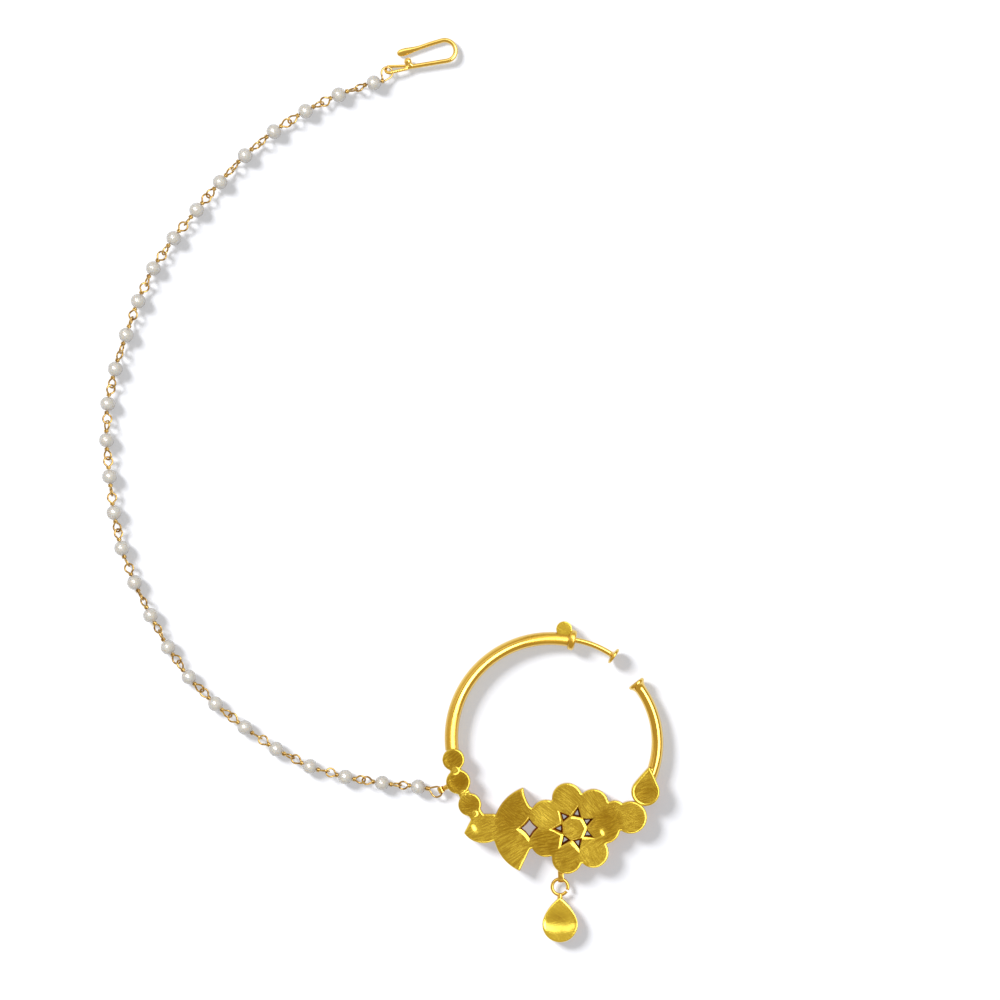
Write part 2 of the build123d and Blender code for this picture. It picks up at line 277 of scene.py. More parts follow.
def mix_values(tree, factor, a, b):
    made = tree.nodes.new("ShaderNodeMix")
    fill_in(tree, made, {0: factor, 2: a, 3: b})
    return made.outputs[0]


def value_range(tree, source, low, high, to_low=0.0, to_high=1.0):
    """Maps one range of a value onto another, softly."""
    made = node(tree, "ShaderNodeMapRange", interpolation_type="SMOOTHSTEP")
    fill_in(tree, made, {0: source, 1: low, 2: high, 3: to_low, 4: to_high})
    return made.outputs[0]


def maths(tree, operation, a, b=0.0):
    made = node(tree, "ShaderNodeMath", operation=operation)
    fill_in(tree, made, {0: a, 1: b})
    return made.outputs[0]


print("mixing helpers ready")


# %% Where a surface faces and lies, and new materials
def facing_up(tree):
    """1 where the surface faces straight up or down, 0 where it stands upright."""
    normal = tree.nodes.new("ShaderNodeNewGeometry").outputs["Normal"]
    return maths(tree, "ABSOLUTE", node(tree, "ShaderNodeSeparateXYZ", Vector=normal).outputs["Z"])


def object_place(tree):
    return tree.nodes.new("ShaderNodeTexCoord").outputs["Object"]


def new_material(name):
    """A material, its tree and its shader."""
    made = bpy.data.materials.new(name)
    made.use_nodes = True
    return made, made.node_tree, made.node_tree.nodes["Principled BSDF"]


print("material helpers ready")

# %% [markdown]
# ## What all the gold shares
#
# High-carat gold on a soldered back is satin: rubbed in short strokes, with brown and green tones where the metal was
# heated. A noise drawn out in one direction makes the strokes, and a second one crosses it in other regions, as a
# hand changes its grip. One node group gives the colour, the roughness and the height of the strokes, so every
# finish can use it with its own values. A number stored on each piece makes it paler or darker, for rubbing and for
# painted highlight and shade. Upright walls take a browner tone, a painted shade for walls turned from the light.


# %% A node group, and rubbing strokes
def new_group(name, inputs, outputs):
    """A shader node group whose named sockets are each a Color or a Float."""
    group = bpy.data.node_groups.new(name, "ShaderNodeTree")
    for way, sockets in (("INPUT", inputs), ("OUTPUT", outputs)):
        for label, kind in sockets.items():
            group.interface.new_socket(name=label, in_out=way, socket_type="NodeSocket" + kind)
    return group, group.nodes.new("NodeGroupInput").outputs, group.nodes.new("NodeGroupOutput")


def strokes(group, place, scale, turn, stretch):
    """Noise drawn out along one direction, on lines that wander a little."""
    warp = node(group, "ShaderNodeTexNoise", Vector=place, Scale=120.0, Detail=0.0)
    bent = node(group, "ShaderNodeVectorMath", operation="MULTIPLY_ADD")
    fill_in(group, bent, {0: warp.outputs["Color"], 1: (0.004, 0.004, 0.004), 2: place})
    drawn_out = node(
        group,
        "ShaderNodeMapping",
        vector_type="TEXTURE",
        Vector=bent.outputs[0],
        Rotation=(0, 0, turn),
        Scale=(stretch, 1.0, 1.5),
    )
    lines = node(
        group, "ShaderNodeTexNoise", Vector=drawn_out.outputs[0], Scale=scale, Detail=2.0, Roughness=0.6
    )
    return lines.outputs["Fac"]


print("group helpers ready")


# %% The rubbed gold group
def rubbed_gold():
    """Colour, roughness and relief of gold that was filed, rubbed and heated, with painted shade on upright walls."""
    tones = dict.fromkeys(("Pale", "Deep", "Wall"), "Color")
    amounts = ("Patch Scale", "Stroke Scale", "Rough Low", "Rough High", "Unevenness", "Dulling")
    inputs = {**tones, **dict.fromkeys(amounts, "Float")}
    group, given, out = new_group("rubbed_gold", inputs, {"Color": "Color", "Roughness": "Float", "Height": "Float"})
    place = object_place(group)
    patch = node(
        group, "ShaderNodeTexNoise", Vector=place, Scale=given["Patch Scale"], Detail=4.0, Roughness=0.6
    )
    region = node(group, "ShaderNodeTexNoise", Vector=place, Scale=150.0, Detail=0.0)
    one, other = (strokes(group, place, given["Stroke Scale"], *way) for way in ((0.35, 11.0), (-0.75, 10.0)))
    rubbing = mix_values(group, value_range(group, region.outputs["Fac"], 0.44, 0.56), one, other)
    patches, lines = maths(group, "MULTIPLY", patch.outputs["Fac"], 0.35), maths(group, "MULTIPLY", rubbing, 0.65)
    uneven = value_range(group, maths(group, "ADD", patches, lines), 0.34, 0.66, -1.0, 1.0)
    uneven = maths(group, "MULTIPLY", uneven, given["Unevenness"])
    # the stored number: rubbing, and on some pieces painted highlight and shade; below 0 it also dulls the finish
    wear_and_light = node(group, "ShaderNodeAttribute", attribute_name="wear_and_light").outputs["Fac"]
    tone = value_range(group, maths(group, "ADD", uneven, wear_and_light), -0.6, 0.6)
    base = mix_colours(group, tone, given["Deep"], given["Pale"])
    # painted shade: faces that stand upright are mixed towards the darker wall tone
    upright = value_range(group, facing_up(group), 0.45, 0.02)
    rough = value_range(group, rubbing, 0.35, 0.65, given["Rough Low"], given["Rough High"])
    unpolished = maths(group, "MAXIMUM", maths(group, "MULTIPLY", wear_and_light, -1.0), 0.0)
    dulled = maths(group, "MULTIPLY", unpolished, given["Dulling"])
    dress(
        group,
        out,
        Color=mix_colours(group, upright, base, given["Wall"]),
        Roughness=maths(group, "ADD", rough, dulled),
        Height=rubbing,
    )
    return group


RUBBED = rubbed_gold()
print("group", RUBBED.name, len(RUBBED.nodes), "nodes")

# %% [markdown]
# ## Five finishes of one metal
#
# The soldered back is satin, the tubes are polished, the links are fine wire, the hook is thicker drawn wire, and
# the cuts of the openings are rough and unpolished, in a dark brown that is painted shade. Each is the shared group
# with its own two tones, painted wall shade, roughness and relief, under a plain metal shader with a thin clear coat
# of polish.


# %% A gold finish
# wall is the darker tone that upright faces take, a painted shade
def gold(name, pale, deep, wall, rough, relief, uneven, patch, stroke, coat, dulling=0.0):
    """A gold finish. The relief is in millimetres, and patch and stroke are the scales of the noises."""
    made, tree, shader = new_material(name)
    use = node(
        tree,
        "ShaderNodeGroup",
        node_tree=RUBBED,
        Pale=(*pale, 1),
        Deep=(*deep, 1),
        Wall=(*wall, 1),
        Patch_Scale=patch,
        Stroke_Scale=stroke,
        Rough_Low=rough[0],
        Rough_High=rough[1],
        Unevenness=uneven,
        Dulling=dulling,
    )
    bump = node(tree, "ShaderNodeBump", Distance=relief * MM, Strength=1.0, Height=use.outputs["Height"])
    dress(
        tree,
        shader,
        Base_Color=use.outputs["Color"],
        Roughness=use.outputs["Roughness"],
        Normal=bump.outputs["Normal"],
        Metallic=1.0,
        Coat_Weight=coat,
        Coat_Roughness=0.12,
    )
    return made


print("gold() makes a finish of", RUBBED.name)

# %% The five finishes
SATIN = gold(
    "satin_gold",
    pale=(0.95, 0.80, 0.13),
    deep=(0.46, 0.285, 0.010),
    wall=(0.42, 0.16, 0.004),
    rough=(0.17, 0.25),
    relief=0.0031,
    uneven=0.155,
    patch=420,
    stroke=4600,
    coat=0.55,
)
POLISHED = gold(
    "polished_gold",
    pale=(0.84, 0.60, 0.13),
    deep=(0.72, 0.48, 0.07),
    wall=(0.62, 0.35, 0.04),
    rough=(0.10, 0.12),
    relief=0.0002,
    uneven=0.06,
    patch=300,
    stroke=900,
    coat=0.9,
    dulling=0.36,
)
WIRE = gold(
    "wire_gold",
    pale=(0.78, 0.57, 0.20),
    deep=(0.24, 0.12, 0.025),
    wall=(0.44, 0.23, 0.04),
    rough=(0.14, 0.22),
    relief=0.0010,
    uneven=0.40,
    patch=1500,
    stroke=3000,
    coat=0.5,
)
DRAWN = gold(
    "drawn_gold",
    pale=(0.88, 0.68, 0.22),
    deep=(0.74, 0.50, 0.10),
    wall=(0.72, 0.42, 0.07),
    rough=(0.09, 0.13),
    relief=0.0002,
    uneven=0.10,
    patch=500,
    stroke=1500,
    coat=0.8,
)
# dark brown on the narrow walls of the cuts: painted shade, on rough unpolished metal
SHADED_CUT = gold(
    "shaded_cut_gold",
    pale=(0.60, 0.25, 0.02),
    deep=(0.28, 0.09, 0.006),
    wall=(0.50, 0.19, 0.012),
    rough=(0.45, 0.6),
    relief=0.01,
    uneven=0.5,
    patch=350,
    stroke=900,
    coat=0.0,
)
print("gold finishes", *(finish.name for finish in (SATIN, POLISHED, WIRE, DRAWN, SHADED_CUT)))

# %% [markdown]
# ## The flower plate
#
# The back is one sheet soldered over all the boxes: a seven-petalled flower, a crescent, a leaf, three discs and two
# buds. Round boxes start as cylinders. The others have an outline of straight runs and arcs, drawn point by point,
# filled and raised. Small voxels then melt the blocks into one skin as solder does.

# %% Sizes of the plate
PLATE = 3.3  # mm thick
FLOWER, PETALS, PETAL_CIRCLE, PETAL_RADIUS, HUB_RADIUS = (4.36, -16.27), 7, 5.58, 2.75, 5.6
DISCS = [(-17.33, -3.90, 2.0), (-16.47, -7.90, 2.2), (-14.40, -12.00, 2.08)]
BUDS = [(11.65, -13.30, 2.1), (14.53, -14.29, 2.95)]
CRESCENT, CRESCENT_RADIUS = (-2.12, -16.5), 8.1
petal_places = [polar(k * 360 / PETALS, PETAL_CIRCLE, FLOWER) for k in range(PETALS)]
print("petals at", [tuple(round(v, 2) for v in p) for p in petal_places])


# %% Drawing outlines
def arc(a, through, b, count=24):
    """Points of the arc from a to b through a third point."""
    (ax, ay), (bx, by), (cx, cy) = a, through, b
    d = 2 * (ax * (by - cy) + bx * (cy - ay) + cx * (ay - by))
    sa, sb, sc = ax * ax + ay * ay, bx * bx + by * by, cx * cx + cy * cy
    mx = (sa * (by - cy) + sb * (cy - ay) + sc * (ay - by)) / d
    my = (sa * (cx - bx) + sb * (ax - cx) + sc * (bx - ax)) / d
    radius = math.hypot(ax - mx, ay - my)
    start, way, end = (math.degrees(math.atan2(y - my, x - mx)) for x, y in (a, through, b))
    turn, part = (end - start) % 360, (way - start) % 360
    if part > turn:
        turn -= 360
    return [polar(start + turn * k / count, radius, (mx, my)) for k in range(count + 1)]


def draw(points, level=0.0):
    """A face drawn as by hand: one vertex, extruded from corner to corner, and filled."""
    clear()
    bpy.ops.mesh.primitive_plane_add(size=1, location=(0, 0, 0))
    made = bpy.context.object
    edit_all()
    bpy.ops.mesh.merge(type="CENTER")
    bpy.ops.transform.translate(value=(*points[0], level))
    for (ax, ay), (bx, by) in zip(points, points[1:]):
        bpy.ops.mesh.extrude_vertices_move(TRANSFORM_OT_translate={"value": (bx - ax, by - ay, 0)})
    bpy.ops.mesh.select_all(action="SELECT")
    bpy.ops.mesh.edge_face_add()
    bpy.ops.object.mode_set(mode="OBJECT")
    return made


def raise_to(obj, height):
    """Extrudes a drawn face into a closed block."""
    choose(obj)
    edit_all()
    pull_up(height)
    close_up()
    return obj


print("drawing helpers ready")


# %% Blocks to start from
def drum(x, y, radius, height, sides=96):
    clear()
    bpy.ops.mesh.primitive_cylinder_add(vertices=sides, radius=radius, depth=height, location=(x, y, height / 2))
    return bpy.context.object


def beam(a, b, width, height, lift=0.0):
    """A straight block between two points of the plan."""
    clear()
    length = math.dist(a, b)
    turn = math.atan2(b[1] - a[1], b[0] - a[0])
    middle = ((a[0] + b[0]) / 2, (a[1] + b[1]) / 2, height / 2)
    bpy.ops.mesh.primitive_cube_add(
        size=1, location=middle, rotation=(0, 0, turn), scale=(length, width, height)
    )
    bpy.ops.object.transform_apply(location=False, rotation=True, scale=True)
    bpy.context.object.location.z += lift
    return bpy.context.object


def disc(sides, radius, place=(0, 0, 0), rotation=(0, 0, 0)):
    """A filled circle, the start of whatever is spun or turned."""
    clear()
    bpy.ops.mesh.primitive_circle_add(
        vertices=sides, radius=radius, fill_type="NGON", location=place, rotation=rotation
    )
    return bpy.context.object


def ball(radius, place, segments, rings):
    clear()
    bpy.ops.mesh.primitive_uv_sphere_add(segments=segments, ring_count=rings, radius=radius, location=place)
    return bpy.context.object


print("block helpers ready")

# %% The plate's blocks
flower = [drum(*FLOWER, HUB_RADIUS, PLATE)] + [drum(x, y, PETAL_RADIUS, PLATE) for x, y in petal_places]
top_tip, bottom_tip = (-4.72, -8.89), (-5.40, -23.96)
crescent_outline = [(-3.56, -20.05), (-1.2, -19.0), (-1.2, -13.6)]
crescent_outline += arc((-3.56, -12.31), (-4.42, -10.5), top_tip)
crescent_outline += arc(top_tip, (CRESCENT[0] - CRESCENT_RADIUS, CRESCENT[1]), bottom_tip, 72)[1:]
crescent = raise_to(draw(crescent_outline), PLATE)
leaf_outline = [(-14.18, -14.65)] + arc((-15.43, -17.10), (-12.90, -18.83), (-9.86, -18.43))
leaf_outline += [(-7.9, -16.6), (-9.95, -13.63), (-11.93, -13.63)]
leaf = raise_to(draw(leaf_outline), PLATE)
round_boxes = [drum(x, y, r, PLATE) for x, y, r in DISCS + BUDS]
necks = [beam(a[:2], b[:2], 2.1, PLATE - 0.2) for a, b in zip(DISCS, DISCS[1:])]
necks.append(beam(DISCS[-1][:2], (-12.7, -14.8), 2.5, PLATE))
plate = join(crescent, leaf, *flower, *round_boxes, *necks)
melt(plate, voxel=0.12, soften=3)
print("plate skin", len(plate.data.polygons), "faces")

# %% [markdown]
# ## Hammering the plate
#
# No soldered back is flat. Its rim is filed, each disc and petal is dished a little, and the sheet leans one way or
# another between the blows. A sculpting brush could do it by hand. A rule does the same to every point of the top,
# and can be read and changed: it adds up how far the metal falls away at each place.


# %% Rules for worked sheet
def rim_distances(p, height):
    """How far each point lies inside the outline, from the walls half way up."""
    wall = p[(p[:, 2] > height * 0.35) & (p[:, 2] < height * 0.65)]
    tree = kdtree.KDTree(len(wall))
    for k, (x, y, _) in enumerate(wall):
        tree.insert((x, y, 0), k)
    tree.balance()
    out = np.full(len(p), 9.0)
    for k in np.nonzero(p[:, 2] > height * 0.7)[0]:
        out[k] = tree.find((p[k, 0], p[k, 1], 0))[2]
    return out


def filed_rim(inside, width, fall):
    """The fall of a shallow filed bevel with a small rounding outside it."""
    return fall * np.clip(1 - inside / width, 0, 1) + 0.10 * np.exp(-inside / 0.10)


def mound(p, x, y, radius):
    """1 at a place, falling to 0 at a radius."""
    return np.clip(1 - (np.hypot(p[:, 0] - x, p[:, 1] - y) / radius) ** 2, 0, None)


BLOW_HEADING = math.radians(30.0)


def lean(p, x, y, radius, slope):
    """A blow of the hammer that makes the sheet fall away to one side."""
    along = (p[:, 0] - x) * math.cos(BLOW_HEADING) + (p[:, 1] - y) * math.sin(BLOW_HEADING)
    return mound(p, x, y, radius) ** 2 * slope * along


print("rules for worked sheet ready")

# %% Hammering the plate
# x, y, radius and slope of the largest blows, then x, y and radius of the lumps of solder
LEANS = [
    (-0.9, -13.9, 3.4, 0.035),
    (2.9, -10.9, 3.2, 0.03),
    (4.36, -16.27, 2.3, 0.03),
    (-6.6, -12.6, 4.2, -0.03),
    (-7.4, -16.5, 3.2, -0.02),
    (10.2, -14.6, 3.6, -0.03),
    (-6.2, -20.6, 3.2, 0.04),
    (14.5, -14.3, 2.6, 0.03),
    (9.4, -17.0, 0.95, 0.20),
    (-13.6, -16.2, 1.4, 0.18),
]
LUMPS = [(-17.0, -5.9, 0.75), (-15.6, -9.9, 0.6), (-13.5, -13.6, 0.6)]
DISC_DISHES, PETAL_DISHES, HUB_DISH, LUMP_HEIGHT = (0.10, 0.12, 0.05), (0.02, 0.05), 0.07, 0.12  # mm
RIM_WIDTH, RIM_FALL, WAVES, RIPPLES = 0.42, 0.04, 0.038, 0.010  # mm


def plate_rule(p):
    """Works only on the top, and more the higher a point is."""
    top = fade(p[:, 2], 2.3, 3.0)
    fall = filed_rim(rim_distances(p, PLATE), RIM_WIDTH, RIM_FALL) * (1 + 0.5 * dimples(p, 3.0, 6))
    for (x, y, r), depth in zip(DISCS, DISC_DISHES):
        fall += depth * mound(p, x, y, r * 0.9)
    for k, (x, y) in enumerate(petal_places):
        fall += PETAL_DISHES[k % 2] * mound(p, x, y, PETAL_RADIUS * 0.85)
    fall += HUB_DISH * mound(p, *FLOWER, 2.0)
    fall += WAVES * dimples(p, 4.2, 1) + RIPPLES * dimples(p, 1.2, 2)
    for blow in LEANS:
        fall += lean(p, *blow)
    for x, y, r in LUMPS:
        fall -= LUMP_HEIGHT * mound(p, x, y, r)
    p[:, 2] -= top * np.clip(fall, -0.06, None)
    return p


hammer(plate, plate_rule)
print("plate height", round(points_of(plate)[:, 2].max(), 3), "mm")

# %% [markdown]
# ## Openings: seven stars and a diamond
#
# The stones of the front sat over openings in the back. Each was pierced with a saw and its mouth filed wider, more
# towards the lower left. A cutter has just that shape: a drawn outline, extruded in levels that are each scaled. The
# cut takes the cutter's own two finishes, dark painted shade on the rough walls and satin on the filed mouth.


# %% Cutters for the openings
def cut_with(obj, *cutters):
    """Boolean difference with cutters that don't touch each other. Their own finish lines the cut."""
    cutter = join(*cutters)
    modify(obj, "BOOLEAN", operation="DIFFERENCE", object=cutter, solver="MANIFOLD", material_mode="TRANSFER")
    bpy.data.objects.remove(cutter)
    return obj


FILED_TOWARDS = (-0.34, -0.26, 0)  # mm, the file was held to the lower left
BELOW = -1.0  # mm, the level at which each cutter starts


def opening(corners, middle, inradius, waist, longest=9.0):
    """A cutter with sloping walls and a filed mouth, whose corners stay within a length."""
    # the walls take the dark finish, a painted shade, and the filed mouth the satin one
    made = give_finish(draw(corners, BELOW), SHADED_CUT, SATIN)
    levels = [(BELOW, waist), (PLATE - 1.1, waist), (PLATE - 0.20, 1.0), (PLATE + 0.2, 1.0 + 0.66 / inradius)]
    edit_all()
    widen(waist, (*middle, BELOW))
    for (low, before), (high, after) in zip(levels, levels[1:]):
        pull_up(high - low)
        widen(after / before, (*middle, high))
    bpy.ops.transform.translate(value=FILED_TOWARDS)
    close_up()
    for vertex in made.data.vertices:
        x, y = vertex.co.x - middle[0] - FILED_TOWARDS[0], vertex.co.y - middle[1] - FILED_TOWARDS[1]
        away = Vector((x, y, 0))
        if vertex.co.z > PLATE and away.length > longest:
            vertex.co -= away * (1 - longest / away.length)
    for face in made.data.polygons:
        face.material_index = int(face.center.z > PLATE - 0.15)
    return made


print("cutter helpers ready")

# %% Seven stars
STAR_TIP, STAR_BASE, STAR_HALF_WIDTH, STAR_TURN, STAR_INRADIUS = 3.95, 2.15, 0.76, 27.5, 0.463
spread = math.degrees(math.atan2(STAR_HALF_WIDTH, STAR_BASE))
reach = math.hypot(STAR_BASE, STAR_HALF_WIDTH)
stars = []
for k in range(PETALS):
    turn = STAR_TURN + k * 360 / PETALS
    corners = [(turn, STAR_TIP), (turn + spread, reach), (turn - spread, reach)]
    star_middle = polar(turn, STAR_BASE + STAR_INRADIUS, FLOWER)
    stars.append(opening([polar(*corner, FLOWER) for corner in corners], star_middle, STAR_INRADIUS, 0.55, 2.1))
print(len(stars), "stars")

# %% The diamond, with sides pulled in
DIAMOND_TIPS, DIAMOND_MIDDLE = [(-3.65, -14.6), (-2.15, -16.15), (-3.65, -18.05), (-5.35, -16.3)], (-3.7, -16.3)
PULLED_IN = 0.14  # mm at the middle of a side
sides = []
for (ax, ay), (bx, by) in zip(DIAMOND_TIPS, DIAMOND_TIPS[1:] + DIAMOND_TIPS[:1]):
    for t in (0.0, 0.25, 0.5, 0.75):
        x, y = ax + (bx - ax) * t, ay + (by - ay) * t
        pull = PULLED_IN * 4 * t * (1 - t) / math.dist((x, y), DIAMOND_MIDDLE)
        sides.append((x + (DIAMOND_MIDDLE[0] - x) * pull, y + (DIAMOND_MIDDLE[1] - y) * pull))
diamond = opening(sides, DIAMOND_MIDDLE, 1.15, 0.84)
print("diamond of", len(sides), "corners")

# %% Cutting, in batches whose cutters don't touch
give_finish(plate, SATIN, SHADED_CUT)
for batch in ([diamond] + stars[0:6:2], stars[1:6:2], stars[6:]):
    cut_with(plate, *batch)
print("plate with its openings", len(plate.data.polygons), "faces,", len(plate.data.materials), "finishes")

# %% [markdown]
# ## Where the plate is paler or darker
#
# Skin and cloth polish whatever stands proud, and hollows keep the brown of the flame. Painting it by hand is one
# way. Here a number at every point, worked out from its place, goes into an attribute that the gold group reads.
# It also carries painted light: the bright spots on the two strongest hammered facets are painted highlights, and
# the paler and darker patches where the sheet leans are partly rubbing and partly painted highlight and shade.

# %% Rubbed places
# x, y, radius, and how much brighter or darker; the last two, on the strongest hammered facets, are painted
# highlights, and the others are partly rubbing and partly painted highlight and shade
WEAR_AND_LIGHT_SPOTS = [
    (-0.67, -13.85, 3.0, 0.34),
    (3.12, -10.83, 3.0, 0.14),
    (7.84, -11.91, 2.6, 0.06),
    (9.94, -15.6, 3.4, -0.24),
    (7.84, -20.63, 3.2, 0.26),
    (3.12, -21.71, 2.8, -0.06),
    (-0.67, -18.69, 2.8, -0.28),
    (4.36, -16.27, 2.2, 0.08),
    (14.53, -14.29, 3.0, 0.02),
    (-6.5, -12.8, 4.4, -0.24),
    (-8.2, -17.0, 3.2, 0.02),
    (-6.3, -20.9, 3.2, 0.04),
    (-12.4, -16.3, 3.0, 0.12),
    (9.4, -17.0, 1.1, 0.30),
    (-13.6, -16.2, 1.3, 0.25),
]
DISC_TONES, RIM_TONE, LUMP_TONE = (-0.36, -0.52, -0.22), 0.12, 0.35


def plate_wear_and_light(p):
    """Rims paler, the discs darker, pale solder lumps, and patches that are partly rubbing and partly painted
    highlight and shade.
    """
    wear_and_light = RIM_TONE * np.exp(-rim_distances(p, PLATE) / 0.30)
    for x, y, r, amount in WEAR_AND_LIGHT_SPOTS:
        wear_and_light += amount * np.sqrt(mound(p, x, y, r))
    for (x, y, r), amount in zip(DISCS, DISC_TONES):
        wear_and_light += amount * mound(p, x, y, r * 1.05)
    for x, y, r in LUMPS:
        wear_and_light += LUMP_TONE * mound(p, x, y, r)
    return wear_and_light


rub_and_paint_light(plate, plate_wear_and_light)
settle(plate, "flower_plate", ["nose_ring"], 50)

# %% [markdown]
# ## The pear box
#
# The pear box over the second bud, and later the drop, are boxes with a raised rim and a dished back. The part of a
# circle that faces the tip is drawn out along two slightly convex sides, the face is extruded to its height, and the
# block is melted with the beads of solder at its tip. The two curves also say how far inside the outline a point is.


# %% Drop-shaped boxes
def shoulders(centre, radius, tip, convex):
    """Where the sides leave the round end, and the radius and middle of the arc they follow to the tip."""
    reach = math.dist(centre, tip)
    leave = math.acos(radius / reach) + math.radians(convex)
    flat = (reach**2 + radius**2 - 2 * reach * radius * math.cos(leave)) / (radius - reach * math.cos(leave)) / 2
    return reach, leave, flat, (radius - flat) * math.cos(leave), (radius - flat) * math.sin(leave)


def teardrop_box(centre, radius, tip, height, convex):
    """A block whose plan is a circle drawn out along two slightly convex sides to a tip."""
    made = disc(96, radius)
    heading = math.atan2(tip[1] - centre[1], tip[0] - centre[0])
    reach, leave, flat, mx, my = shoulders(centre, radius, tip, convex)
    p = points_of(made)
    angle = np.arctan2(p[:, 1], p[:, 0]) - heading
    angle = (angle + math.pi) % (2 * math.pi) - math.pi
    near = np.abs(angle) < leave
    turn = leave + (math.atan2(-my, reach - mx) - leave) * (1 - np.abs(angle[near]) / leave)
    x, y = mx + flat * np.cos(turn), np.sign(angle[near]) * (my + flat * np.sin(turn))
    p[near, 0] = x * math.cos(heading) - y * math.sin(heading)
    p[near, 1] = x * math.sin(heading) + y * math.cos(heading)
    p[:, 0] += centre[0]
    p[:, 1] += centre[1]
    put_points(made, p)
    return raise_to(made, height)


def teardrop_depth(p, centre, radius, tip, convex):
    """How far inside the outline each point lies."""
    reach, leave, flat, mx, my = shoulders(centre, radius, tip, convex)
    ux, uy = (tip[0] - centre[0]) / reach, (tip[1] - centre[1]) / reach
    x, y = p[:, 0] - centre[0], p[:, 1] - centre[1]
    along, away = x * ux + y * uy, np.abs(y * ux - x * uy)
    flank = flat - np.hypot(along - mx, away - my)
    return np.where(np.arctan2(away, along) < leave, flank, radius - np.hypot(along, away))


print("drop-shaped boxes ready")

# %% The pear box
PEAR, PEAR_RADIUS, PEAR_TIP, PEAR_HEIGHT, PEAR_CONVEX = (17.19, -9.70), 2.56, (17.86, -5.11), 3.55, 3
SOLDER = [(0.42, (18.30, -5.75, 2.75)), (0.34, (18.72, -6.25, 2.55))]  # radius and place of the beads at its tip
PEAR_DISH, PEAR_RIM = 0.06, 0.33  # mm, how deep the middle is sunk and how wide the rim is


def pear_depth(p):
    return teardrop_depth(p, PEAR, PEAR_RADIUS, PEAR_TIP, PEAR_CONVEX)


def pear_rule(p):
    """Leaves a raised filed rim and sinks the middle."""
    top = fade(p[:, 2], PEAR_HEIGHT * 0.7, PEAR_HEIGHT * 0.92)
    inside = np.clip(pear_depth(p), 0, None)
    sink = filed_rim(inside, PEAR_RIM * 0.7, 0.05) + PEAR_DISH * fade(inside, PEAR_RIM * 0.8, PEAR_RIM * 1.6)
    sink += 0.05 * fade(inside, PEAR_RIM * 1.7, PEAR_RADIUS) + 0.012 * dimples(p, 1.6, 3)
    p[:, 2] -= top * sink
    return p


beads = [ball(radius, place, 24, 16) for radius, place in SOLDER]
pear = join(teardrop_box(PEAR, PEAR_RADIUS, PEAR_TIP, PEAR_HEIGHT, PEAR_CONVEX), *beads)
melt(pear, voxel=0.08, soften=5)
hammer(pear, pear_rule)
give_finish(pear, SATIN)
# a paler rim on a slightly darker body; the paler rim is partly rubbing and partly painted highlight
rub_and_paint_light(pear, lambda p: 0.30 * fade(-pear_depth(p), -0.62, -0.36) - 0.14)
settle(pear, "pear_box", ["nose_ring"])

# %% [markdown]
# ## The small disc at the collar
#
# One more dished dot covers the place where the post leaves the collar. It is a low cylinder whose edge is melted
# round, with a hollow inside its rim.

# %% The small disc at the collar
DOT, DOT_RADIUS, DOT_HEIGHT, DOT_DISH = (2.58, 19.52), 1.43, 2.6, 0.10


def from_dot(p):
    return np.hypot(p[:, 0] - DOT[0], p[:, 1] - DOT[1])


def dot_rule(p):
    away = from_dot(p)
    hollow = DOT_DISH * fade(-away, -1.15, -0.85) + 0.04 * np.clip(1 - away / 0.9, 0, None)
    p[:, 2] -= fade(p[:, 2], 1.6, 2.4) * (hollow + 0.015 * dimples(p, 1.0, 4))
    return p


dot = drum(*DOT, DOT_RADIUS, DOT_HEIGHT, 64)
melt(dot, voxel=0.07, soften=6)
hammer(dot, dot_rule)
give_finish(dot, SATIN)
# paler towards the rim, partly rubbing and partly painted highlight
rub_and_paint_light(dot, lambda p: 0.10 + 0.25 * fade(from_dot(p), 0.8, 1.1))
settle(dot, "collar_dot", ["nose_ring"])

# %% [markdown]
# ## The hoop
#
# Each arm is a round tube bent to an arc, and the thin post through the nostril is bent the same way. A circle is
# spun about the middle of the arc, as the spin tool is meant to be used, and the rings of points are then tapered
# along the way. A curve with a bevel would do too, but it gives less say over the taper.


# %% Bending a tube
AXIS = 1.85  # mm, the height of the tubes' middle


def bent_tube(centre, radius, start, end, thick_start, thick_end, sides=40, steps=120, level=AXIS):
    """A circle spun along a level arc, with the thickness changing evenly."""
    x, y = polar(start, radius, centre)
    made = disc(sides, thick_start / 2, (x, y, level), (math.pi / 2, 0, math.radians(start)))
    apply_place()
    edit_all()
    bpy.ops.mesh.spin(steps=steps, angle=math.radians(end - start), center=(*centre, level), axis=(0, 0, -1))
    bpy.ops.mesh.select_all(action="SELECT")
    bpy.ops.mesh.remove_doubles(threshold=0.0005)
    close_up()
    p = points_of(made)
    angle = np.degrees(np.arctan2(p[:, 1] - centre[1], p[:, 0] - centre[0]))
    angle = np.where(angle < min(start, end) - 90, angle + 360, angle)
    grow = 1 + (thick_end / thick_start - 1) * np.clip((angle - start) / (end - start), 0, 1)
    away = np.hypot(p[:, 0] - centre[0], p[:, 1] - centre[1])
    fresh = radius + (away - radius) * grow
    p[:, 0] = centre[0] + (p[:, 0] - centre[0]) * fresh / away
    p[:, 1] = centre[1] + (p[:, 1] - centre[1]) * fresh / away
    p[:, 2] = level + (p[:, 2] - level) * grow
    put_points(made, p)
    print("tube", round(angle.min(), 1), "to", round(angle.max(), 1), "degrees")
    return made


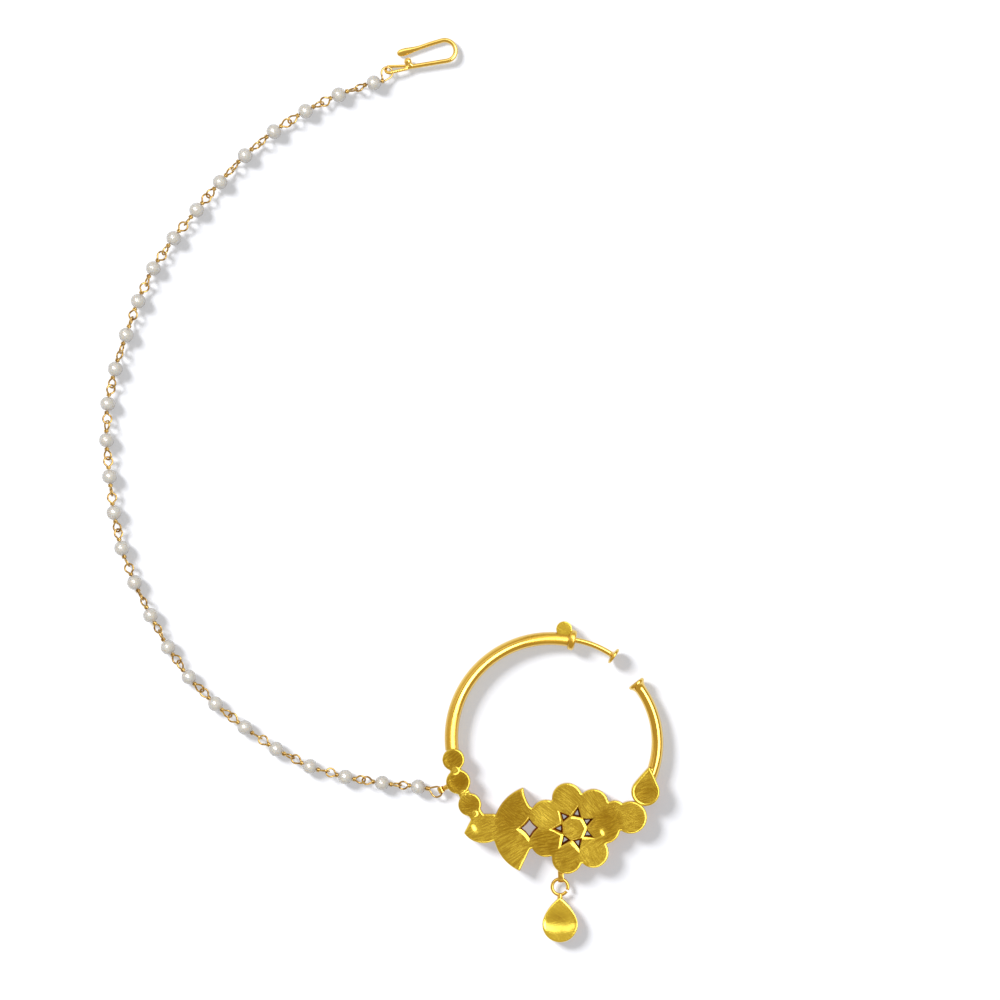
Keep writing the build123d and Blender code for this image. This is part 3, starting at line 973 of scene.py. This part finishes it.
# %% Arms and post
# the middle and radius of each arc, and the angles at which it carries something
LEFT_ARC, RIGHT_ARC, POST_ARC = ((0.13, 0.0), 17.84), ((2.77, -0.85), 16.60), ((1.87, 1.22), 16.54)
COLLAR_ANGLE, PAD_ANGLE, MOUTH_ANGLE = 77.2, 54.5, 37.4
left_arm = bent_tube(*LEFT_ARC, 79.4, 187.0, 2.36, 2.48)
right_arm = bent_tube(*RIGHT_ARC, MOUTH_ANGLE, -27.0, 2.00, 2.26, steps=80)
post = bent_tube(*POST_ARC, 81.5, PAD_ANGLE, 1.04, 1.04, sides=24, steps=40)


def shaded_duller_ends(p):
    """Rougher towards the soldered ends, where polish stops short, and darker there, a painted shade that dims the
    highlight.
    """
    angle = np.degrees(np.arctan2(p[:, 1], p[:, 0])) % 360
    return -0.75 * fade(-angle, -114, -90) - 0.85 * fade(angle, 150, 176)


rub_and_paint_light(left_arm, shaded_duller_ends)

# %% [markdown]
# ## Collar, pad and mouth
#
# The collar grips the post, the pad at its end rests inside the nose, and the right arm ends in a flared mouth that
# faces it. A goldsmith turns such parts on a lathe. Here a circle is extruded along its axis from one measured
# width to the next, and the finished part is laid down along the hoop.


# %% Turning a part
def turned(profile, place, heading, sides=64):
    """Builds a profile of (along, radius) about an axis, and points the axis along the heading."""
    made = disc(sides, profile[0][1])
    edit_all()
    for (a, before), (b, after) in zip(profile, profile[1:]):
        pull_up(b - a)
        widen(after / before, (0, 0, b - profile[0][0]))
    bpy.ops.mesh.select_all(action="SELECT")
    bpy.ops.transform.translate(value=(0, 0, profile[0][0]))
    close_up()
    lie_down = Matrix.Rotation(math.pi / 2, 4, "Y")
    swing = Matrix.Rotation(math.radians(heading), 4, "Z")
    made.matrix_world = Matrix.Translation((*place, AXIS)) @ swing @ lie_down
    apply_place()
    return made


def rounded_disc(radius, width, edge, steps=6):
    """The profile of a disc with a round edge."""
    flank = [(math.cos(math.pi * k / 2 / steps), math.sin(math.pi * k / 2 / steps)) for k in range(steps + 1)]
    rise = [(-width / 2 + edge - edge * c, radius - edge + edge * s) for c, s in flank]
    return rise + [(-a, r) for a, r in reversed(rise)]


print("turning helpers ready")

# %% Collar, pad and flared mouth
collar = turned(rounded_disc(1.9, 1.3, 0.5), polar(COLLAR_ANGLE, 18.02), COLLAR_ANGLE + 90)
# darker and rougher all over; the darker tone is painted shade
rub_and_paint_light(collar, lambda p: np.full(len(p), -0.5))
pad_profile = [(-0.30, 1.1), (-0.29, 1.38), (-0.17, 1.54), (0.0, 1.6), (0.17, 1.54), (0.30, 1.3)]
pad_profile += [(0.38, 0.9), (0.5, 0.62), (0.8, 0.5)]
pad = turned(pad_profile, polar(PAD_ANGLE, POST_ARC[1], POST_ARC[0]), PAD_ANGLE + 90)
mouth_profile = [(-1.2, 0.98), (-0.7, 1.02), (-0.3, 1.12), (0.0, 1.27), (0.18, 1.40), (0.28, 1.52), (0.42, 1.60)]
mouth_profile += [(0.58, 1.62), (0.76, 1.59), (0.90, 1.47), (0.95, 1.22), (0.90, 0.8), (0.84, 0.2)]
mouth = turned(mouth_profile, polar(MOUTH_ANGLE, RIGHT_ARC[1], RIGHT_ARC[0]), MOUTH_ANGLE + 90)
hoop_parts = {
    "left_arm": left_arm,
    "right_arm": right_arm,
    "nostril_post": post,
    "collar": collar,
    "post_pad": pad,
    "flared_mouth": mouth,
}
for name, piece in hoop_parts.items():
    give_finish(piece, POLISHED)
    settle(piece, name, ["nose_ring"])

# %% [markdown]
# ## Eyes for the drop and the chain
#
# Each is a short tube, drilled and with its edges broken. The drop's eye is held by a strap that comes down from the
# plate's back and laps over the tube, the chain's by a round stub. The drop's jump ring and the last link of the
# chain pass through them.


# %% Tube eyes and stubs
def tube_eye(place, outside, inside, length, heading):
    """A short hollow tube lying across the heading."""
    parts = []
    for width, depth in ((outside, length), (inside, length * 2)):
        clear()
        bpy.ops.mesh.primitive_cylinder_add(
            vertices=40,
            radius=width / 2,
            depth=depth,
            location=place,
            rotation=(math.pi / 2, 0, math.radians(heading)),
        )
        apply_place()
        parts.append(give_finish(bpy.context.object, POLISHED))
    return modify(cut_with(*parts), "BEVEL", width=0.07, segments=2, limit_method="ANGLE")


def stub(a, b, z, thick_a, thick_b):
    """A short round bar from one point of the plan to another."""
    clear()
    run = Vector((b[0] - a[0], b[1] - a[1], 0))
    bpy.ops.mesh.primitive_cone_add(
        vertices=32,
        radius1=thick_a / 2,
        radius2=thick_b / 2,
        depth=run.length,
        location=((a[0] + b[0]) / 2, (a[1] + b[1]) / 2, z),
        rotation=run.to_track_quat("Z", "Y").to_euler(),
    )
    apply_place()
    return bpy.context.object


print("eye helpers ready")

# %% The drop's eye
DROP_EYE = (2.0, -25.38, 1.2)
STRAP_RISE = 0.40  # mm that the strap stands higher at the plate
strap = beam((DROP_EYE[0], -23.6), (DROP_EYE[0], -24.85), 1.1, 2.05)
modify(strap, "BEVEL", width=0.16, segments=3, limit_method="ANGLE")
modify(strap, "SUBSURF", levels=1, subdivision_type="SIMPLE")


def sloped(p):
    """The strap comes down from the plate's back to the tube."""
    p[:, 2] += STRAP_RISE * fade(p[:, 2], 0.9, 1.8) * np.clip((p[:, 1] + 24.75) / 1.15, 0, 1)
    return p


hammer(strap, sloped)
tongue = beam((DROP_EYE[0], -24.5), (DROP_EYE[0], -25.68), 1.04, 0.30, lift=1.72)  # laps over the tube
bpy.ops.object.transform_apply(location=True, rotation=False, scale=False)
modify(tongue, "BEVEL", width=0.10, segments=3, limit_method="ANGLE")
drop_eye = join(tube_eye(DROP_EYE, 1.5, 1.0, 1.0, 90), strap, tongue)
settle(give_finish(drop_eye, POLISHED), "drop_eye", ["nose_ring"], 40)

# %% The chain's eye
CHAIN_EYE, CHAIN_DISC = (-19.58, -9.41, 1.3), DISCS[1][:2]
STUB_REACH = (1.7, 3.457 - 0.46)  # mm from the disc's middle, up to just inside the tube
chain_heading = math.degrees(math.atan2(CHAIN_EYE[1] - CHAIN_DISC[1], CHAIN_EYE[0] - CHAIN_DISC[0]))
stub_ends = [polar(chain_heading, reach, CHAIN_DISC) for reach in STUB_REACH]
chain_eye = join(tube_eye(CHAIN_EYE, 1.2, 0.76, 1.05, chain_heading + 180), stub(*stub_ends, 1.3, 1.1, 0.85))
settle(give_finish(chain_eye, POLISHED), "chain_eye", ["nose_ring"], 40)

# %% [markdown]
# ## The drop
#
# A flat pear drop hangs on its own jump ring, which is not quite closed. The two are soldered, so they are one piece.
# The back of the drop is a shallow trough with a rim, with a painted highlight as a bright band along the bottom of
# the trough.

# %% The drop
DROP, DROP_RADIUS, DROP_TIP, DROP_HEIGHT, DROP_CONVEX = (1.84, -33.64), 3.19, (1.84, -28.69), 2.4, 19
TROUGH, TROUGH_LINE, TROUGH_BOW = 0.24, 33.2, 0.06  # depth, how far below the hoop's middle, and its curve
# where the painted highlight band runs, and the middle of a darker patch
HIGHLIGHT_BAND_LINE, DARKER_PATCH_PLACE = -34.35, (1.5, -32.4)


def drop_depth(p):
    return teardrop_depth(p, DROP, DROP_RADIUS, DROP_TIP, DROP_CONVEX)


def trough_rule(p):
    """The back sinks towards a line that bows, and rises again past it."""
    top = fade(p[:, 2], 1.7, 2.25)
    inside = np.clip(drop_depth(p), 0, None)
    sink = filed_rim(inside, 0.30, 0.05)
    bow = TROUGH_BOW * (p[:, 0] - DROP[0]) ** 2
    fall, rise = fade(-p[:, 1], 30.2, TROUGH_LINE), fade(-p[:, 1] + bow, TROUGH_LINE, 35.5)
    sink += (TROUGH * fall - TROUGH * rise) * fade(inside, 0.0, 0.6) + 0.016 * dimples(p, 1.3, 5)
    p[:, 2] -= top * sink
    return p


def drop_wear_and_highlight(p):
    """A painted highlight as a bright band across the trough, a darker patch above it, a pale rim and a paler low
    end.
    """
    # painted highlight: the bright band across the trough
    band = np.exp(-(((p[:, 1] - HIGHLIGHT_BAND_LINE) / 0.75) ** 2))
    darker_patch = np.exp(-(((p[:, 1] - DARKER_PATCH_PLACE[1]) / 1.1) ** 2) - ((p[:, 0] - DARKER_PATCH_PLACE[0]) / 1.5) ** 2)
    rim = np.exp(-drop_depth(p) / 0.3)
    low_end = fade(-p[:, 1], 34.5, 35.5)
    return 0.50 + 0.10 * rim + 0.30 * band - 0.50 * darker_patch + 0.10 * low_end


drop = teardrop_box(DROP, DROP_RADIUS, DROP_TIP, DROP_HEIGHT, DROP_CONVEX)
melt(drop, voxel=0.08, soften=5)
hammer(drop, trough_rule)
give_finish(drop, SATIN)
rub_and_paint_light(drop, drop_wear_and_highlight)
print("drop", len(drop.data.polygons), "faces")

# %% Its neck and jump ring
RING_RADIUS, RING_WIRE, RING_GAP_ANGLE, RING_GAP = 1.42, 0.62, -28.0, 0.3
ring_middle = (DROP[0], DROP_EYE[1] - RING_RADIUS - 0.10)
half_gap = math.degrees(RING_GAP / 2 / RING_RADIUS)
ring_start, ring_end = RING_GAP_ANGLE + half_gap, RING_GAP_ANGLE + 360 - half_gap
level = DROP_HEIGHT / 2
jump_ring = bent_tube(ring_middle, RING_RADIUS, ring_start, ring_end, RING_WIRE, RING_WIRE, 24, 96, level)
neck_low, neck_high = (DROP[0], DROP_TIP[1] - 0.9), (DROP[0], ring_middle[1] - RING_RADIUS + 0.1)
neck = stub(neck_low, neck_high, level, 1.2, 0.9)
for piece in (jump_ring, neck):
    give_finish(piece, POLISHED)
whole_drop = join(drop, jump_ring, neck)
settle(whole_drop, "hanging_drop", ["drop"], 50)

# %% [markdown]
# ## The hair hook
#
# One wire, hammered to a long oval at its tip, bent round, drawn into a closed eye for the chain, with the cut end
# turned up into a small curl. Each length is extruded section by section along its path, and the lengths are then
# melted into one skin. The path is drawn flat and tilted as a whole, as the real hook leans on its eye.


# %% A wire along a path
def wire_along(path, radii, sides=20):
    """A tube through a list of points, with a radius, or half a width and half a thickness, at each."""
    made = disc(sides, 1.0)
    edit_all()
    for _ in path[1:]:
        pull_up(1)
    bpy.ops.object.mode_set(mode="OBJECT")
    p = points_of(made)
    level = np.rint(p[:, 2]).astype(int)
    spots = [Vector(spot) for spot in path]
    for k, here in enumerate(spots):
        ahead = (spots[min(k + 1, len(spots) - 1)] - spots[max(k - 1, 0)]).normalized()
        across = ahead.cross(Vector((0, 0, 1))).normalized()
        up = across.cross(ahead)
        wide, thick = radii[k] if isinstance(radii[k], tuple) else (radii[k], radii[k])
        rows = level == k
        x, y = p[rows, 0].copy(), p[rows, 1].copy()
        p[rows] = np.array(here) + np.outer(x * wide, across) + np.outer(y * thick, up)
    put_points(made, p)
    edit_all()
    close_up()
    return made


def loop_points(neck, middle, radius, roll, thickness, count=28):
    """A teardrop loop from its neck, round, and back beside itself."""
    along = Vector(middle) - Vector(neck)
    reach = along.length
    ahead = along.normalized()
    side = Vector((0, 0, 1)).cross(ahead).normalized()
    up = ahead.cross(side)
    across = side * math.cos(math.radians(roll)) + up * math.sin(math.radians(roll))
    beside = thickness * 0.53
    start = math.pi / 2 + (math.asin(radius / math.hypot(reach, beside)) - math.atan2(beside, reach))
    flat = [(0.0, beside)]
    for k in range(count + 1):
        turn = start - 2 * start * k / count
        flat.append((reach + radius * math.cos(turn), radius * math.sin(turn)))
    flat.append((0.0, -beside))
    return [Vector(neck) + ahead * x + across * y for x, y in flat]


print("wire helpers ready")

# %% The hook's path
HOOK_TIP, HOOK_HEADING, HOOK_TILT, HOOK_WIRE = (-27.14, 123.25, 0.535), 15.2, -8.5, 0.44
LONG_LEG, SHORT_LEG, BEND_RADIUS, BEND_TURN, BEND_STEPS = 8.18, 7.6, 1.82, 186.0, 16
# how far along from the tip, half the width and half the thickness of the hammered end
HAMMERED = [
    (-0.38, 0.12, 0.1),
    (-0.3, 0.34, 0.24),
    (-0.1, 0.52, 0.32),
    (0.25, 0.66, 0.36),
    (0.75, 0.72, 0.37),
    (1.4, 0.70, 0.38),
    (2.1, 0.60, 0.40),
    (2.9, 0.50, 0.42),
    (3.8, HOOK_WIRE, HOOK_WIRE),
    (6.0, HOOK_WIRE, HOOK_WIRE),
]
BULGE = 0.26  # mm that the long leg rises towards the bend
flat_path = [(along, 0.0) for along, _, _ in HAMMERED]
flat_radii = [(wide, thick) for _, wide, thick in HAMMERED]
for k in range(BEND_STEPS + 1):
    flat_path.append(polar(90 - BEND_TURN * k / BEND_STEPS, BEND_RADIUS, (LONG_LEG, -BEND_RADIUS)))
flat_path = [(x, y + BULGE * math.exp(-(((x - 7.4) / 2.6) ** 2)) * (y > -1.6)) for x, y in flat_path]
bend_end = flat_path[-1]
for part in (0.3, 0.6, 0.85, 1.0):
    flat_path.append(polar(-BEND_TURN, SHORT_LEG * part, bend_end))
flat_radii += [HOOK_WIRE] * (len(flat_path) - len(flat_radii))
swing = Matrix.Rotation(math.radians(HOOK_HEADING), 4, "Z")
tilt = Matrix.Rotation(math.radians(HOOK_TILT), 4, "X")
hook_plane = Matrix.Translation(HOOK_TIP) @ swing @ tilt
hook_path = [hook_plane @ Vector((x, y, 0)) for x, y in flat_path]
print("hook path of", len(hook_path), "points")

# %% The hook, its eye and its curl
EYE_MIDDLE, EYE_RADIUS, EYE_ROLL = (-28.85, 120.3, 1.0), 0.75, 36
KNOB, KNOB_RADIUS = (-25.56, 121.74, 1.15), 0.70
leg = wire_along(hook_path, flat_radii)
eye_neck = hook_path[-1] + (hook_path[-2] - hook_path[-1]).normalized() * 0.3
eye_path = loop_points(eye_neck, EYE_MIDDLE, EYE_RADIUS, EYE_ROLL, 0.6)
eye = wire_along(eye_path, [0.3] * len(eye_path))
curl_path = [(-24.68, 120.68, 1.0), (-24.95, 121.02, 1.0), (-25.25, 121.35, 1.0), (-25.45, 121.60, 1.0)]
curl = wire_along(curl_path, [0.40, 0.44, 0.50, 0.56])
hook = join(leg, eye, curl, ball(KNOB_RADIUS, KNOB, 32, 20))
melt(hook, voxel=0.042, soften=18)
settle(give_finish(hook, DRAWN), "hair_hook_wire", ["hair_hook"])

# %% [markdown]
# ## Where the pearls are
#
# Twenty-eight pearls are threaded on the chain. The nodes hold them seven at a time, so a copy of each node is
# merged and split into its loose parts, and each part's box gives a centre. Starting at the hook, the nearest pearl
# not yet taken is always the next one, which puts them in the order of the chain.


# %% Where the pearls are
def pearl_centres(node_name):
    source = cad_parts[node_name]
    copy = source.copy()
    copy.data = source.data.copy()
    bpy.context.scene.collection.objects.link(copy)
    choose(copy)
    edit_all()
    bpy.ops.mesh.remove_doubles(threshold=1e-6)
    bpy.ops.mesh.separate(type="LOOSE")
    bpy.ops.object.mode_set(mode="OBJECT")
    found = []
    for part in list(bpy.context.selected_objects):
        p = points_of(part)
        found.append(Vector((p.min(0) + p.max(0)) / 2))
        bpy.data.objects.remove(part)
    return found


pearl_nodes = [name for name in sorted(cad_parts) if name.startswith("pearls")]
loose = [(name, place) for name in pearl_nodes for place in pearl_centres(name)]
print(len(loose), "pearls in", len(pearl_nodes), "nodes")

# %% Their order along the chain
hook_low, hook_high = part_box("hair_hook")
here = (hook_low + hook_high) / 2
chain = []
while loose:
    nearest = min(loose, key=lambda item: (item[1] - here).length)
    loose.remove(nearest)
    chain.append(nearest)
    here = nearest[1]
print("chain of", len(chain), "pearls")

# %% [markdown]
# ## Pearl lustre
#
# A pearl is milky: light goes a little way in and comes back warm, and a thin clear skin on top gives a soft bright
# spot. The colour wanders slightly between cream and grey, and its sides are darker, a painted shade.


# %% Pearl lustre
CREAM, GREY, SHADED_SIDES = (0.80, 0.775, 0.72, 1), (0.77, 0.74, 0.685, 1), (0.46, 0.42, 0.35, 1)


def pearl_material():
    made, tree, shader = new_material("pearl_lustre")
    cloud = node(tree, "ShaderNodeTexNoise", Vector=object_place(tree), Scale=700.0, Detail=3.0).outputs["Fac"]
    base = mix_colours(tree, value_range(tree, cloud, 0.35, 0.65), GREY, CREAM)
    # painted shade: where a pearl turns away from facing up it is mixed towards a darker colour
    sideways_shade = maths(tree, "SUBTRACT", 1.0, maths(tree, "POWER", facing_up(tree), 0.7))
    dress(
        tree,
        shader,
        Base_Color=mix_colours(tree, sideways_shade, base, SHADED_SIDES),
        Roughness=value_range(tree, cloud, 0.3, 0.7, 0.22, 0.30),
        Coat_Weight=0.8,
        Coat_Roughness=0.16,
        Specular_IOR_Level=0.5,
        Subsurface_Weight=0.85,
        Subsurface_Radius=(1.0, 0.9, 0.75),
        Subsurface_Scale=0.5 * MM,
    )
    return made


PEARL = pearl_material()
print("material", PEARL.name, len(PEARL.node_tree.nodes), "nodes")

# %% [markdown]
# ## The pearls
#
# Seed pearls are never quite round. One fine sphere is modelled with a dimple at each end of its bore, and each copy
# is turned, swelled and dented a little differently, and set with its bore along the chain.

# %% One pearl, and its copies
PEARL_RADIUS, BORE_DIMPLE = 1.34, 0.35  # mm
pattern = ball(PEARL_RADIUS, (0, 0, 0), 40, 24)
p = points_of(pattern)
p[:, 2] -= np.sign(p[:, 2]) * BORE_DIMPLE * (1 - fade(np.hypot(p[:, 0], p[:, 1]), 0.10, 0.42))
put_points(pattern, p)
base_points = points_of(pattern)
by_group = {}
for k, (name, centre) in enumerate(chain):
    ahead = (chain[min(k + 1, len(chain) - 1)][1] - chain[max(k - 1, 0)][1]).normalized()
    turn = ahead.to_track_quat("Z", "Y").to_matrix()
    spin = Matrix.Rotation(random.uniform(0, 6.28), 3, "Z")
    swell = np.array([random.uniform(0.99, 1.03), random.uniform(0.99, 1.03), random.uniform(0.97, 1.02)])
    dents = 1 - 0.02 * np.abs(dimples(base_points, 2.2, k + 10))
    shaped = base_points * swell * dents[:, None]
    copy = pattern.copy()
    copy.data = pattern.data.copy()
    bpy.context.scene.collection.objects.link(copy)
    put_points(copy, shaped @ np.array(turn @ spin).T + np.array((centre - HOOP) / MM))
    by_group.setdefault(name, []).append(copy)
bpy.data.objects.remove(pattern)
for name, copies in by_group.items():
    strand = give_finish(join(*copies), PEARL)
    settle(strand, name.replace("pearls", "seed_pearls"), [name], 80)

# %% [markdown]
# ## The wire links
#
# The links' own solids already have their loops, coils and pins, so they stay, and only take the wire's finish.

# %% Finish of the links
links = [obj for name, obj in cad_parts.items() if name.startswith("link")]
for obj in links:
    if not obj.material_slots:
        obj.data.materials.append(WIRE)
    for slot in obj.material_slots:
        slot.material = WIRE
print(len(links), "links finished")

# %% [markdown]
# ## The floor
#
# The piece lies on a white surface. The floor takes part of its white from its own glow, for camera, mirror and glass
# rays only. So the lamps can stay at a plain level, the glow lights nothing, and the shadow stays grey.

# %% Floor
FLOOR_LEVEL, FLOOR_GLOW = -0.00002, 0.38
clear()
bpy.ops.mesh.primitive_plane_add(size=4.0, location=(0, 0, FLOOR_LEVEL))
floor = bpy.context.object
floor.name = "floor"
floor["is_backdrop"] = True
white, tree, shader = new_material("white_floor")
rays = tree.nodes.new("ShaderNodeLightPath").outputs
seen = maths(tree, "MAXIMUM", rays["Is Camera Ray"], rays["Is Glossy Ray"])
seen = maths(tree, "MAXIMUM", seen, rays["Is Transmission Ray"])
dress(
    tree,
    shader,
    Base_Color=(0.600, 0.610, 0.645, 1),
    Roughness=0.9,
    Specular_IOR_Level=0.0,
    Emission_Color=(1, 1, 1, 1),
    Emission_Strength=maths(tree, "MULTIPLY", seen, FLOOR_GLOW),
)
give_finish(floor, white)
print("floor at", FLOOR_LEVEL)

# %% [markdown]
# ## The room
#
# Metal looks like what it mirrors. The room is a plain grey for diffuse light, but in reflections it takes a warm
# wooden tone, so that gold turned away from the lamps stays gold. The camera and glass see white.

# %% World
ROOM, WARM_ROOM, WHITE = (0.29, 0.29, 0.30, 1), (0.575, 0.435, 0.190, 1), (1, 1, 1, 1)
world = bpy.data.worlds.new("studio")
bpy.context.scene.world = world
world.use_nodes = True
tree = world.node_tree
rays = tree.nodes.new("ShaderNodeLightPath").outputs
seen = maths(tree, "MAXIMUM", rays["Is Camera Ray"], rays["Is Transmission Ray"])
mirrored = mix_colours(tree, rays["Is Glossy Ray"], ROOM, WARM_ROOM)
dress(tree, tree.nodes["Background"], Color=mix_colours(tree, seen, mirrored, WHITE), Strength=1.0)
print("world", world.name)

# %% [markdown]
# ## Lamps and reflector cards
#
# One soft key from the upper left draws the shadow, and a fill opens up the pearls. All the others are cards: large,
# seen only in reflections, and placed where a tube, a rim or a dished back mirrors them to the camera. Each is given
# by its direction, its spread in degrees and its radiance, because those are what a reflection shows.

# %% Lamps
AIM = Vector((0.02, -0.03, 0.0))  # the point that all of them face


def lamp(name, azimuth, zenith, across, along, radiance, distance=1.0):
    """A rectangular lamp aimed at the piece, from its place in the sky and its spread in degrees."""
    a, e = math.radians(azimuth), math.radians(90 - zenith)
    away = Vector((math.cos(a) * math.cos(e), math.sin(a) * math.cos(e), math.sin(e)))
    side = Vector((-math.sin(a), math.cos(a), 0))
    width = 2 * distance * math.tan(math.radians(across / 2))
    height = 2 * distance * math.tan(math.radians(along / 2))
    data = bpy.data.lights.new(name, "AREA")
    data.shape, data.size, data.size_y = "RECTANGLE", width, height
    data.energy = radiance * math.pi * width * height
    made = bpy.data.objects.new(name, data)
    bpy.context.scene.collection.objects.link(made)
    made.location = AIM + away * distance
    made.rotation_euler = Matrix((side, away.cross(side), away)).transposed().to_euler()
    made.visible_camera = False
    print(name, round(data.energy, 2), "W")
    return made


key = lamp("key", 144, 52, 17, 17, 51.5, 3.0)
key.visible_glossy = False
softbox = lamp("softbox", 20, 31, 52, 37, 4.6)
rim_box = lamp("rim_box", 20, 31, 52, 37, 3.1)
overhead = lamp("overhead", -45, 12, 17, 38, 5.0)
low_strip = lamp("low_strip", -60, 34, 50, 12, 3.0)
band = lamp("upper_left_band", 145, 74, 80, 20, 0.42)
panel = lamp("upper_panel", 120, 36, 75, 26, 0.45)
card = lamp("hook_card", 85, 44, 70, 28, 1.3)
drop_card = lamp("drop_card", 75, 21, 80, 26, 1.1)
window = lamp("pearl_window", 139, 26, 34, 50, 11.0)
fill = lamp("pearl_fill", 120, 16, 100, 80, 1.15)
fill.visible_glossy = False
for reflector in (softbox, rim_box, overhead, low_strip, band, panel, card, drop_card, window):
    reflector.visible_diffuse = False

# %% [markdown]
# ## Which lamps each piece mirrors
#
# In a studio a card is held where one part of a piece catches it, and flagged off from the rest. Light linking does
# the same: a lamp with a receiver collection reaches only the pieces in that collection.


# %% Linking lamps to pieces
def shine_on(lamps, pieces, name):
    """Limits lamps to some pieces."""
    side = bpy.data.collections.new(name)
    for piece in pieces:
        side.objects.link(piece)
    for one in lamps:
        one.light_linking.receiver_collection = side


meshes = [obj for obj in bpy.context.scene.objects if obj.type == "MESH"]
pearls = [obj for obj in meshes if obj.name.startswith("seed_pearls")]
metal = [obj for obj in meshes if obj not in pearls and obj is not floor]
sheet = [plate, pear, dot]
shine_on([band, panel], metal, "metal")
shine_on([softbox], [obj for obj in metal if obj not in sheet and obj is not whole_drop], "tubes and wire")
shine_on([rim_box], sheet + [whole_drop], "sheet gold")
shine_on([low_strip], [plate, drop_eye], "plate and its eye")
shine_on([overhead], [left_arm], "left arm")
shine_on([card], [hook, post, collar], "hook and post")
shine_on([drop_card], [whole_drop], "drop")
shine_on([window, fill], pearls, "pearls")
shine_on([key], metal + [floor], "all but the pearls")

# %% [markdown]
# ## The camera
#
# A long lens straight above shows the piece nearly as a drawing does, with little perspective. Its distance follows
# from the width that it has to take in, by the ratio of the lens to the sensor.

# %% Camera
VIEW_WIDTH, VIEW_MIDDLE = 0.180, Vector((-8.964, 42.77, 1.8)) * MM
camera_data = bpy.data.cameras.new("camera")
camera = bpy.data.objects.new("camera", camera_data)
bpy.context.scene.collection.objects.link(camera)
camera_data.lens, camera_data.sensor_width = 200, 36
distance = VIEW_WIDTH * camera_data.lens / camera_data.sensor_width
camera.location = HOOP + VIEW_MIDDLE + Vector((0, 0, distance))
camera_data.clip_start, camera_data.clip_end = 0.05, 10
bpy.context.scene.camera = camera
bpy.context.scene.view_settings.view_transform = "Standard"
print("camera", [round(v, 4) for v in camera.location])

# %% Sizes before and after
last_low, last_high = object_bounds()
for label, size in (("cad", first_high - first_low), ("visual", last_high - last_low)):
    print(label, [round(v / MM, 2) for v in size], "mm")
